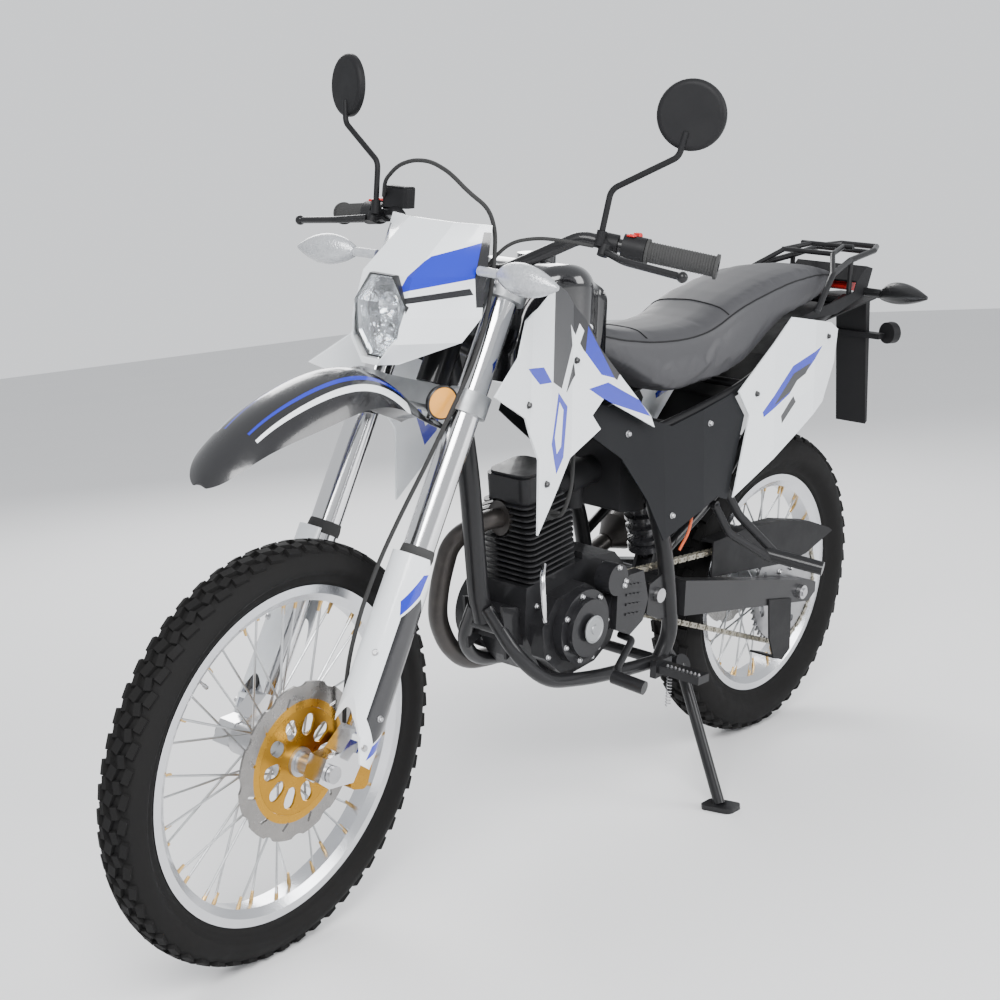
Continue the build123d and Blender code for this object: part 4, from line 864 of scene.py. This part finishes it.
@dataclass
class Drive(Assembly):
    """The roller chain and the teeth it runs on."""

    zone: Zone = Zone.CHASSIS
    front: tuple[float, float] = (600.0, 455.0)
    front_radius: float = 33.2
    rear_radius: float = 121.4
    side: float = 74.0
    pitch: float = 15.875
    plate_end: float = 6.4
    plate_waist: float = 4.6
    plate_thick: float = 1.6
    plate_sides: tuple[float, float] = (5.3, 3.2)
    teeth: int = 48
    tooth_foot: float = 12.0
    tooth_thick: float = 4.4

    def pins(self) -> list[tuple[float, float]]:
        """Return the pins' (x, z), evenly spaced round the chain's loop."""
        front, rear = Vector(self.front), Vector((0.0, self.space.rear_radius))
        run, steps, line, reach = front - rear, 120, [], [0.0]
        slope = math.atan2(run.y, run.x)
        spread = math.acos((self.rear_radius - self.front_radius) / run.length)
        for centre, radius, start, stop in (
                (rear, self.rear_radius, slope + spread, slope + math.tau - spread),
                (front, self.front_radius, slope - spread, slope + spread)):
            for k in range(steps + 1):
                turn = start + (stop - start) * k / steps
                line.append(centre + radius * Vector((math.cos(turn), math.sin(turn))))
        line.append(line[0])
        for a, b in zip(line, line[1:]):
            reach.append(reach[-1] + (b - a).length)
        count = round(reach[-1] / self.pitch / 2) * 2
        pins, k = [], 0
        for index in range(count):
            goal = reach[-1] * index / count
            while reach[k + 1] < goal:
                k += 1
            share = (goal - reach[k]) / (reach[k + 1] - reach[k])
            pins.append(tuple(line[k].lerp(line[k + 1], share)))
        return pins

    def build(self) -> None:
        """Make the links in place of the plain chain, and the rear teeth."""
        chain, teeth, pins, third = Shape(), Shape(), self.pins(), math.pi / 3
        for k, ((x, z), (far_x, far_z)) in enumerate(zip(pins, pins[1:] + pins[:1])):
            along, pin = Vector((far_x - x, 0, far_z - z)), Vector((x, self.side, z))
            ends = [(along.length / 2 * s + self.plate_end * math.cos(turn),
                     self.plate_end * math.sin(turn)) for s, start in ((1, -1), (-1, 2))
                    for turn in (start * third, (start + 1) * third, (start + 2) * third)]
            plate = [*ends[:3], (0, self.plate_waist), *ends[3:], (0, -self.plate_waist)]
            for sense in (1, -1):
                shift = sense * self.plate_sides[k % 2] + self.plate_thick / 2
                chain.prism(plate, pin + along / 2 + LEFT * shift, along, along.cross(LEFT),
                            self.plate_thick)
            chain.lathe(((5.0, -3), (5.0, 3)), pin, LEFT, 12)
            chain.lathe(((2.4, -8), (2.4, 8)), pin, LEFT, 8)
        self.emit(chain, "roller_chain", CHAIN, "chain")
        rear = self.space.joint_point("rear_wheel_spin", Zone.REAR_WHEEL)
        first = math.atan2(pins[2][1] - rear.z, pins[2][0] - rear.x) + math.pi / self.teeth
        for k in range(self.teeth):
            out = spoke_way(first + math.tau * k / self.teeth)
            foot = (rear + LEFT * (self.side - self.tooth_thick / 2)
                    + out * (self.rear_radius - self.tooth_foot))
            teeth.prism(((-6.6, 0), (-2.6, 9), (-1.2, 15), (1.2, 15), (2.6, 9), (6.6, 0)),
                        foot, out.cross(LEFT), out, self.tooth_thick)
        self.emit(teeth, "sprocket_teeth", SPROCKET, zone=Zone.REAR_WHEEL)


@dataclass
class Headlamp(Assembly):
    """The clear lens, the faceted bowl, the projectors and their dark housing."""

    zone: Zone = Zone.STEERING
    middle: float = 1022.0
    half_high: float = 64.0
    half_wide: float = 52.0
    dome: float = 7.0
    inset: float = 6.0
    lens_wall: float = 3.0
    housing_wall: float = 2.0

    def outline(self, share: float, parts: int = 6) -> list[tuple[float, float]]:
        """Return the lens's (y, z) outline, shrunk towards its middle.

        Args:
            share: The outline's size, 1 at the lens's edge.
            parts: How many parts each of its eight edges has.

        Returns:
            The points, anticlockwise.
        """
        wide, high = self.half_wide, self.half_high
        corners = [(0.45 * wide, high), (wide, 0.3 * high), (0.9 * wide, -0.45 * high),
                   (0.4 * wide, -high)]
        corners += [(-y, z) for y, z in reversed(corners)]
        return [((y + (v - y) * k / parts) * share,
                 self.middle + (z + (w - z) * k / parts) * share)
                for (y, z), (v, w) in zip(corners, corners[1:] + corners[:1])
                for k in range(parts)]

    def front(self, y: float, z: float) -> float:
        """Return how far ahead the frame's lamp reaches at a point."""
        hit = self.space.touch("headlight", self.zone, Vector((1500, y, z)), -AHEAD, 800)
        return hit[0].x if hit else 1196 - 0.3 * (z - self.middle)

    def shell(self, edge: Sequence[float], wall: float,
              depths: Iterable[tuple[float, float]]) -> Shape:
        """Return a thin shell on the lens's outline.

        Args:
            edge: How far ahead each point of the outline stands.
            wall: The shell's thickness.
            depths: (share of the outline, distance behind the lens) of each ring.

        Returns:
            The shell.
        """
        rings = [[Vector((x - self.inset - back, y, z))
                  for x, (y, z) in zip(edge, self.outline(share))] for share, back in depths]
        backs = [[point - AHEAD * wall for point in ring] for ring in reversed(rings)]
        return Shape().rings([*rings, *backs], loop=True)

    def build(self) -> None:
        """Make the lens, bowl, projectors and housing in place of the plain lamp."""
        edge = [self.front(y, z) for y, z in self.outline(0.9)]
        lens = self.shell(edge, self.lens_wall, [(share, self.dome * (share ** 2 - 1))
                                                 for share in (1.0, 0.9, 0.7, 0.4, 0.02)])
        self.emit(lens, "headlight_lens", LENS, "headlight", sharp=50)
        bowl = self.shell(edge, self.lens_wall, (
            (1.0, 8), (0.94, 12), (0.8, 30), (0.6, 48), (0.3, 62), (0.12, 64)))
        self.emit(bowl, "headlight_bowl", BOWL, sharp=12)
        bulbs, x = Shape(), min(edge) - self.inset
        for z, size in ((self.middle + 14, 20), (self.middle - 26, 15)):
            bulbs.lathe(((size * 0.5, -50), (size, -34), (size * 1.1, -24), (size, -22),
                         (size * 0.6, -30), (6, -38), (6, -26), (3, -18), (0, -17)),
                        Vector((x, 0, z)), AHEAD, 32)
        self.emit(bulbs, "headlight_projectors", BOWL)
        housing = self.shell(edge, self.housing_wall, (
            (0.9991, 1), (1.03, 1), (1.04, 8), (1.0, 20), (0.9, 50), (0.6, 72), (0.2, 76)))
        self.emit(housing, "headlight_housing", HOUSING)


@dataclass
class Fasteners(Assembly):
    """Screws and bolts, each set down on the piece that carries it."""

    zone: Zone = Zone.CHASSIS
    start: float = 420.0

    def build(self) -> None:
        """Set the panel screws and the bolts of engine and wheels."""
        hubs = [self.space.joint_point(zone.value + "_spin", zone)
                for zone in (Zone.FRONT_WHEEL, Zone.REAR_WHEEL)]
        # Name, carrier, body, width across the head, finish and the heads' (x, z)
        rows = (
            ("shroud_screws", "shrouds", Zone.CHASSIS, 9, HOUSING,
             ((940, 735), (1010, 880), (840, 930))),
            ("side_cover_screws", "side_covers", Zone.CHASSIS, 9, STEEL,
             ((400, 760), (520, 600), (640, 770))),
            ("tail_panel_screws", "tail_panels", Zone.CHASSIS, 9, HOUSING,
             ((250, 800), (-70, 880))),
            ("guard_screws", "fork_guards", Zone.STEERING, 8, STEEL,
             ((1305, 520), (1318, 420), (1350, 380))),
            ("cover_bolts", "engine_covers", Zone.CHASSIS, 8, STEEL,
             (*circle(738, 424, 62, 7, 0.5), (570, 392), (570, 488), (644, 392), (644, 486),
              (662, 524), (640, 494))),
            ("case_bolts", "crankcase", Zone.CHASSIS, 8, STEEL,
             ((820, 470), (820, 380), (690, 350), (600, 345), (560, 420))),
            ("carrier_bolts", "front_disc_carrier", Zone.FRONT_WHEEL, 7, STEEL,
             circle(hubs[0].x, hubs[0].z, 92, 6)),
            ("sprocket_bolts", "rear_sprocket", Zone.REAR_WHEEL, 10, STEEL,
             circle(hubs[1].x, hubs[1].z, 46, 6)))
        for name, node, zone, width, finish, places in rows:
            heads = Shape()
            sides = (1,) if zone in (Zone.FRONT_WHEEL, Zone.REAR_WHEEL) else (1, -1)
            for x, z in places:
                for side in sides:
                    for seat, facing in self.find(node, Vector((x, self.start * side, z)),
                                                  -LEFT * side, zone=zone):
                        heads.bolt(seat, facing, width)
            self.emit(heads, name, finish, zone=zone)


@dataclass
class SeatPad(Assembly):
    """The one-piece seat: a foam pad under a grained cover with sewn seams.

    A station is its x, its underside's and top's height, half its width and its upper
    corners' radius.
    """

    zone: Zone = Zone.CHASSIS
    voxel: float = 0.006
    swell: float = 0.006
    pressure: float = 4.0
    frames: int = 20
    crown: float = 4.0
    hug: float = 0.8
    piping: float = 1.7
    piping_lift: float = 0.0002
    stations: tuple[tuple[float, float, float, float, float], ...] = (
        (700, 930, 962, 70, 13), (610, 884, 943, 88, 20), (500, 831, 934, 100, 26),
        (380, 832, 940, 104, 26), (260, 853, 981, 108, 28), (100, 933, 1011, 102, 26),
        (-60, 955, 1015, 78, 21), (-182, 979, 997, 42, 9))

    def section(self, x: float, low: float, top: float, half: float,
                corner: float) -> list[Vector]:
        """Return one closed section with round upper corners and a crowned top.

        Args:
            x: Where it stands.
            low: Its underside's height.
            top: Its top's height.
            half: Half its width.
            corner: Its upper corners' radius.

        Returns:
            Its points, anticlockwise from behind.
        """
        points = [Vector((x, half * 0.93 * s, low)) for s in (-1, -0.5, 0, 0.5, 1)]
        points.append(Vector((x, half, (low + top - corner) / 2)))
        for k in range(6):
            turn = math.pi / 2 * k / 5
            points.append(Vector((x, half - corner + corner * math.cos(turn),
                                  top - corner + corner * math.sin(turn))))
        crown = [(half - corner) * s for s in (0.5, 0, -0.5)]
        points += [Vector((x, y, top + self.crown * (1 - (y / half) ** 2))) for y in crown]
        return points + [mirrored(p, -1) for p in reversed(points[5:12])]

    def form(self) -> Shape:
        """Return the pad's starting form, with sections eased between the stations."""
        line = smooth_line([s[:3] for s in self.stations], 3)
        sides = smooth_line([(s[0], *s[3:]) for s in self.stations], 3)
        return Shape().rings([self.section(*a, *b[1:]) for a, b in zip(line, sides)])

    def apply(self, pad: bpy.types.Object) -> None:
        """Turn the pad's modifiers into its mesh and drop them."""
        graph = bpy.context.evaluated_depsgraph_get()
        done = bpy.data.meshes.new_from_object(pad.evaluated_get(graph))
        pad.modifiers.clear()
        pad.data = done

    def inflate(self, pad: bpy.types.Object) -> None:
        """Let the cover swell over its foam, and hold each point near its start."""
        remesh, scene = pad.modifiers.new("remesh", "REMESH"), bpy.context.scene
        remesh.mode, remesh.voxel_size = "VOXEL", self.voxel
        self.apply(pad)
        rest = [vertex.co.copy() for vertex in pad.data.vertices]
        cover = pad.modifiers.new("cover", "CLOTH").settings
        cover.use_pressure, cover.uniform_pressure_force = True, self.pressure
        cover.effector_weights.gravity = 0.0
        for step in range(1, self.frames + 1):
            scene.frame_set(step)
        self.apply(pad)
        scene.frame_set(1)
        for vertex, start in zip(pad.data.vertices, rest):
            shift = vertex.co - start
            if shift.length > self.swell:
                vertex.co = start + shift.normalized() * self.swell
        smooth = pad.modifiers.new("subdivide", "SUBSURF")
        smooth.levels = smooth.render_levels = 1
        self.apply(pad)

    def seams(self, pad: bpy.types.Object) -> None:
        """Lay piping along both shoulders and two seams across the finished seat."""
        placed, piping = self.space.chassis, Shape()
        lines = [[(x, side * (half - corner * 0.3), top - corner * 0.3)
                  for x, _, top, half, corner in self.stations] for side in (1, -1)]
        lines += [[(x + 10 * abs(y) / 90, y, z) for y in (-96, -72, -36, 0, 36, 72, 96)]
                  for x, z in ((300, 960), (545, 960))]
        tree = BVHTree.FromPolygons([v.co for v in pad.data.vertices],
                                    [tuple(p.vertices) for p in pad.data.polygons])
        for line in lines:
            snapped = []
            for point in smooth_line(line, 8):
                near, normal, _, _ = tree.find_nearest(placed @ point)
                snapped.append(placed.inverted() @ (near + normal * self.piping_lift))
            piping.tube(snapped, self.piping, 8)
        self.emit(piping, "seat_piping", PIPING)

    def build(self) -> None:
        """Make the pad in place of the plain seat, and sew it."""
        pad = self.emit(self.form(), "seat_pad", SEAT, "seat", sharp=60)
        self.inflate(pad)
        pad.data.shade_smooth()
        if not pad.data.materials:
            pad.data.materials.append(SEAT.material(self.space))
        self.seams(pad)


@dataclass
class Cockpit(Assembly):
    """Ribbed grips, switches and the reservoir's lid."""

    zone: Zone = Zone.STEERING
    bar_end: Vector = spot(838, 398, 1123)
    bar_bend: Vector = spot(928, 192, 1152)
    grip_long: float = 118.0
    grip_ribs: int = 24
    rib_pitch: float = 4.4
    above: float = 1300.0
    reservoir: tuple[float, float] = (913.0, -203.0)
    screws: tuple[tuple[float, float], ...] = (
        (905, -232), (905, -174), (922, -232), (922, -174))

    def build(self) -> None:
        """Make the grips' ribs, the switches, the lid and its screws."""
        ribs, knobs, caps, lid, screws = (Shape() for _ in range(5))
        inward = (self.bar_bend - self.bar_end).normalized()
        for sense in (1, -1):
            way, ahead = mirrored(inward, sense), self.bar_end
            for k in range(self.grip_ribs):
                ribs.lathe(((16.2, -1.1), (17.6, 0), (16.2, 1.1)),
                           mirrored(ahead + inward * (6 + k * self.rib_pitch), sense), way, 24)
            ribs.lathe(((16.2, -2), (21, -1.4), (21, 1.4), (16.2, 2)),
                       mirrored(ahead + inward * (self.grip_long - 3), sense), way, 32)
            place = mirrored(ahead + inward * (self.grip_long + 20), sense)
            for shift, tall in ((-9, 6), (9, 4)):
                for seat, _ in self.find("controls", place + UP * 60 + AHEAD * shift, -UP):
                    knobs.block(seat + UP * tall / 2, (11, 15, tall), AHEAD, LEFT, 0.8)
            for seat, _ in self.find("controls", place - AHEAD * 90, AHEAD):
                caps.lathe(((6, -1), (6, 3), (5, 4)), seat, -AHEAD, 20)
        for x, y in self.screws:
            for seat, _ in self.find("controls", Vector((x, y, self.above)), -UP):
                screws.bolt(seat, UP, 5)
        for seat, _ in self.find("controls", Vector((*self.reservoir, self.above)), -UP):
            lid.block(seat + UP * 1.4, (30, 50, 3), AHEAD, LEFT, 0.92)
        self.emit(ribs, "grip_ribs", GRIP)
        self.emit(knobs, "switch_knobs", SWITCH_RED, bevel=1.0)
        self.emit(caps, "switch_buttons", STEEL)
        self.emit(lid, "reservoir_lid", BLACK_PLASTIC, bevel=1.0)
        self.emit(screws, "reservoir_screws", STEEL)


@dataclass
class ForkFittings(Assembly):
    """Dust seals, side reflectors and the clamps' pinch bolts."""

    zone: Zone = Zone.STEERING
    ahead: float = 22.0
    side: float = 100.0
    seal_foot: float = 356.0
    pinch_bolts: tuple[float, ...] = (612, 632, 806, 820)
    reflector: Vector = spot(1140, 93, 892)
    reflector_face: Vector = spot(0.35, 0.94, 0)
    arm_root: Vector = spot(40, 98, 593)

    def point(self, s: float, y: float, h: float) -> Vector:
        """Return a point by its distance ahead of, beside and up the steering line."""
        (x, z), = fork_outline((s, h))
        return Vector((x, y, z))

    def build(self) -> None:
        """Make the fittings of both fork legs."""
        seals, bolts, rims, glass, arms = (Shape() for _ in range(5))
        up = self.point(0, 0, 1) - self.point(0, 0, 0)
        out = self.point(1, 0, 0) - self.point(0, 0, 0)
        for sense in (1, -1):
            seals.lathe(((22, 0), (27.5, 0), (28.5, 8), (27, 20), (23.5, 26), (21.5, 26)),
                        self.point(self.ahead, self.side * sense, self.seal_foot), up, 36)
            for h in self.pinch_bolts:
                for seat, facing in self.find("fork_clamps", self.point(
                        160, self.side * sense, h), -out, 200):
                    bolts.bolt(seat, facing, 9)
            face = mirrored(self.reflector_face, sense).normalized()
            seat = mirrored(self.reflector, sense)
            rims.lathe(((25, -5), (28, -4), (28, 3), (26, 4.4), (25.4, 1), (2, 0)), seat, face,
                       40)
            glass.lathe(((25.2, 0), (25, 3.4), (14, 4.8), (0, 5.2)), seat, face, 40)
            arms.tube([seat - face * 3, self.point(*mirrored(self.arm_root, sense))], 4.5)
        self.emit(seals, "fork_seals", GRIP)
        self.emit(bolts, "clamp_bolts", STEEL)
        self.emit(rims, "side_reflector_rims", HOUSING)
        self.emit(glass, "side_reflectors", AMBER)
        self.emit(arms, "side_reflector_arms", SATIN)


@dataclass
class Engine(Assembly):
    """The fittings that make the open engine: louvres, plugs, leads and pipes."""

    zone: Zone = Zone.CHASSIS
    left: float = 300.0
    crank: tuple[float, float] = (738.0, 424.0)
    louvre_foot: float = 348.0
    louvre_step: float = 19.0
    louvre_rise: float = 0.12
    louvre_size: tuple[float, float, float] = (13, 5, 3.4)

    def pipe(self, name: str, finish: Finish, radius: float,
             points: Sequence[Sequence[float]], sides: int = 12) -> None:
        """Run a lead or a small pipe through given points."""
        self.emit(Shape().tube(smooth_line(points, 8), radius, sides), name, finish)

    def build(self) -> None:
        """Make the louvres, the plug, the leads and the small pipes."""
        slots, plug = Shape(), Shape()
        for k in range(4):
            for x in (586, 598, 610, 622):
                z = self.louvre_foot + k * self.louvre_step + x * self.louvre_rise
                for seat, _ in self.find("engine_covers", Vector((x, self.left, z)), -LEFT):
                    slots.block(seat + LEFT * 0.8, self.louvre_size, Vector((1, 0, 0.3)),
                                Vector((-0.3, 0, 1)))
        self.emit(slots, "cover_louvres", COVERS)
        x, z = self.crank
        for seat, _ in self.find("engine_covers", Vector((x, self.left, z)), -LEFT):
            plug.lathe(((26, -1), (26, 1.4), (23, 2.2), (22, 1), (9, 1), (8, 3.4), (0, 3.6)),
                       seat, LEFT, 40)
        self.emit(plug, "crank_plug", CAST)
        self.pipe("plug_lead", HOSE, 3.6, (
            (806, 66, 640), (812, 96, 648), (800, 104, 690), (770, 84, 738), (742, 60, 790)))
        self.emit(Shape().lathe(((9, 0), (10, 6), (10, 22), (8, 26), (6, 40), (4, 44)),
                                Vector((800, 44, 634)), Vector((0.1, 1, 0.25)), 20),
                  "plug_cap", GRIP)
        self.pipe("breather_pipe", CHROME, 5, (
            (846, 88, 560), (868, 104, 542), (870, 110, 500), (852, 100, 462), (826, 84, 448)))
        self.emit(Shape().lathe(((7, 0), (7, 12), (5, 13), (5, 20)), Vector((820, 68, 700)),
                                Vector((0.3, 1, 0)), 6),
                  "brass_union", BRASS, slot="clamp_alloy")
        self.pipe("battery_lead", LEAD, 3, (
            (470, 118, 520), (452, 126, 560), (446, 124, 610), (470, 112, 650)), 10)


@dataclass
class Tail(Assembly):
    """The lamp's ribs, the reflector and the mudflap's ribs."""

    zone: Zone = Zone.CHASSIS
    behind: float = -520.0
    flap_foot: float = 668.0
    flap_step: float = 22.0

    def build(self) -> None:
        """Make the tail's small fittings."""
        ribs, glass, rim, flap = (Shape() for _ in range(4))
        for z in range(966, 1004, 6):
            line = [seat for y in range(-48, 49, 12)
                    for seat, _ in self.find("tail_light", Vector((-400, y, z)), AHEAD)]
            if len(line) > 2:
                ribs.tube(line, 1.0, 6)
        self.emit(ribs, "tail_lamp_ribs", RED)
        face = Vector((-0.9, 0.27, 0))
        for seat, _ in self.find("rear_fender", Vector((self.behind, 80, 857)), AHEAD):
            glass.lathe(((22, -1), (22, 1.5), (12, 3), (0, 3.4)), seat, face, 40)
            rim.lathe(((21.6, -2), (23.8, -2), (23.8, 2), (22, 2.6)), seat, face, 40)
        self.emit(glass, "rear_reflector", RED)
        self.emit(rim, "rear_reflector_rim", HOUSING)
        for k in range(5):
            start = Vector((self.behind, 0, self.flap_foot + k * self.flap_step))
            for seat, _ in self.find("rear_fender", start, AHEAD):
                flap.block(seat - AHEAD * 0.6, (60, 3, 2.4), LEFT, UP)
        self.emit(flap, "mudflap_ribs", BLACK_PLASTIC)


@dataclass
class Feet(Assembly):
    """Teeth on the rider's pegs and the side stand's spring."""

    zone: Zone = Zone.CHASSIS
    tooth_pitch: float = 9.0
    coil_radius: float = 5.0
    coil_step: float = 0.9
    coil_points: int = 78

    def build(self) -> None:
        """Make the foot fittings."""
        teeth = Shape()
        for sense in (1, -1):
            for k in range(9):
                for x in (484, 522):
                    start = Vector((x, (142 + k * self.tooth_pitch) * sense, 420))
                    for seat, _ in self.find("footrests", start, -UP):
                        teeth.block(seat + UP * 2, (7, 4, 6), AHEAD, LEFT, 0.45)
        self.emit(teeth, "peg_teeth", STEEL)
        turns = [k * self.coil_step for k in range(self.coil_points)]
        coil = [Vector((466 + self.coil_radius * math.cos(turn),
                        110 + self.coil_radius * math.sin(turn), 268 - turn))
                for turn in turns]
        self.emit(Shape().tube(coil, 1.1, 6), "stand_spring", STEEL, zone=Zone.STAND)


@dataclass
class Studio:
    """The pale floor, the soft lights and the camera. Lights are placed in metres."""

    space: BikeSpace
    azimuth: float = math.radians(40.335)
    rise: float = math.radians(14.193)
    away: float = 2983.63
    roll: float = math.radians(1.826)
    lens: float = 60.686
    target: Vector = spot(867.57, 0, 665.13)
    aim: Vector = spot(0.1, 0, 0.6)
    floor_reach: float = 14.0
    sky: tuple[float, float, float, float] = (0.95, 0.97, 1.0, 1.0)
    sky_light: float = 0.85
    sky_seen: float = 1.15

    def link(self, name: str, data: bpy.types.ID) -> bpy.types.Object:
        """Return a new object in the scene."""
        made = bpy.data.objects.new(name, data)
        bpy.context.scene.collection.objects.link(made)
        return made

    def camera(self) -> None:
        """Stand the camera where the photograph was taken from."""
        toward = Vector((math.cos(self.rise) * math.cos(self.azimuth),
                         math.cos(self.rise) * math.sin(self.azimuth), math.sin(self.rise)))
        level = (-toward).cross(UP).normalized()
        upright = level.cross(-toward)
        right = level * math.cos(self.roll) + upright * math.sin(self.roll)
        up = upright * math.cos(self.roll) - level * math.sin(self.roll)
        turn = self.space.chassis.to_3x3().normalized()
        data = bpy.data.cameras.new("camera")
        data.sensor_width, data.lens = 36.0, self.lens
        data.clip_start, data.clip_end = 0.05, 60.0
        view = self.link("camera", data)
        axes = Matrix((turn @ right, turn @ up, turn @ toward)).transposed().to_4x4()
        stand = self.space.chassis @ (self.target + toward * self.away)
        view.matrix_world = Matrix.Translation(stand) @ axes
        bpy.context.scene.camera = view

    def lamp(self, name: str, place: Vector, size: float, power: float) -> None:
        """Hang one soft square light, with its power in watts, over the motorcycle."""
        data = bpy.data.lights.new(name, "AREA")
        data.shape, data.size, data.energy = "SQUARE", size, power
        turn = (self.aim - place).to_track_quat("-Z", "Y").to_matrix().to_4x4()
        self.link(name, data).matrix_world = Matrix.Translation(place) @ turn

    def build(self) -> None:
        """Lay the floor and set the lights and the camera."""
        floor, reach = bpy.data.meshes.new("floor"), self.floor_reach
        floor.from_pydata([(-reach, -reach, 0), (reach, -reach, 0), (reach, reach, 0),
                           (-reach, reach, 0)], [], [(0, 1, 2, 3)])
        floor.materials.append(PAPER.material(self.space))
        self.link("floor", floor)
        world = bpy.data.worlds.new("studio")
        world.use_nodes = True
        tree = world.node_tree
        back = tree.nodes["Background"]
        back.inputs[0].default_value = self.sky
        seen = tree.nodes.new("ShaderNodeLightPath")
        bright = tree.nodes.new("ShaderNodeMapRange")
        bright.inputs["To Min"].default_value = self.sky_light
        bright.inputs["To Max"].default_value = self.sky_seen
        tree.links.new(seen.outputs["Is Camera Ray"], bright.inputs["Value"])
        tree.links.new(bright.outputs["Result"], back.inputs[1])
        bpy.context.scene.world = world
        for name, place, size, power in (("key_light", (3.2, 2.4, 3.4), 2.6, 330),
                                         ("side_light", (-1.6, 4.0, 2.2), 2.4, 150),
                                         ("back_light", (-2.6, -3.2, 3.0), 2.4, 150)):
            self.lamp(name, Vector(place), size, power)
        self.camera()


def dress_nodes(space: BikeSpace, sharp: float = 32.0) -> None:
    """Give every frame node its own finish.

    Args:
        space: The motorcycle's axes.
        sharp: The angle above which an edge stays sharp, in degrees.
    """
    bodies = space.frame["record"]["behaviour"]["bodies"]
    zones = {node: Zone(body) for body, nodes in bodies.items() for node in nodes}
    for finish, names in NODE_FINISHES.items():
        for name in names.split():
            mesh = space.frame["nodes"][name].data
            mesh.materials.clear()
            mesh.materials.append(finish.material(space, zones[name]))
            mesh.shade_smooth()
            mesh.set_sharp_from_angle(angle=math.radians(sharp))


def main() -> None:
    """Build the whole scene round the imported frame."""
    logging.basicConfig(level=logging.INFO, format="%(message)s")
    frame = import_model()
    space = BikeSpace(frame)
    Studio(space).build()
    dress_nodes(space)
    front_rows = ((0, 17, 24, 18, 0.0), (13, 13, 22, -16, 0.5), (-13, 13, 22, -16, 0.5),
                  (26, 13, 26, 12, 0.0), (-26, 13, 26, -12, 0.0))
    rear_rows = ((0, 22, 26, 18, 0.0), (15, 17, 24, -16, 0.5), (-15, 17, 24, -16, 0.5),
                 (29, 19, 28, 12, 0.0), (-29, 19, 28, -12, 0.0))
    Wheel(space, Zone.FRONT_WHEEL, "front_wheel_spin", radius=346, width=80, crown=60,
          rim_radius=278, rim_width=48, blocks=56, rows=front_rows).build()
    Wheel(space, Zone.REAR_WHEEL, "rear_wheel_spin", radius=336, width=106, crown=76,
          rim_radius=241, rim_width=64, blocks=48, rows=rear_rows).build()
    for assembly in (Drive, Headlamp, Fasteners, Cockpit, ForkFittings, Engine, Tail, Feet,
                     SeatPad):
        assembly(space).build()


if __name__ == "__main__":
    main()
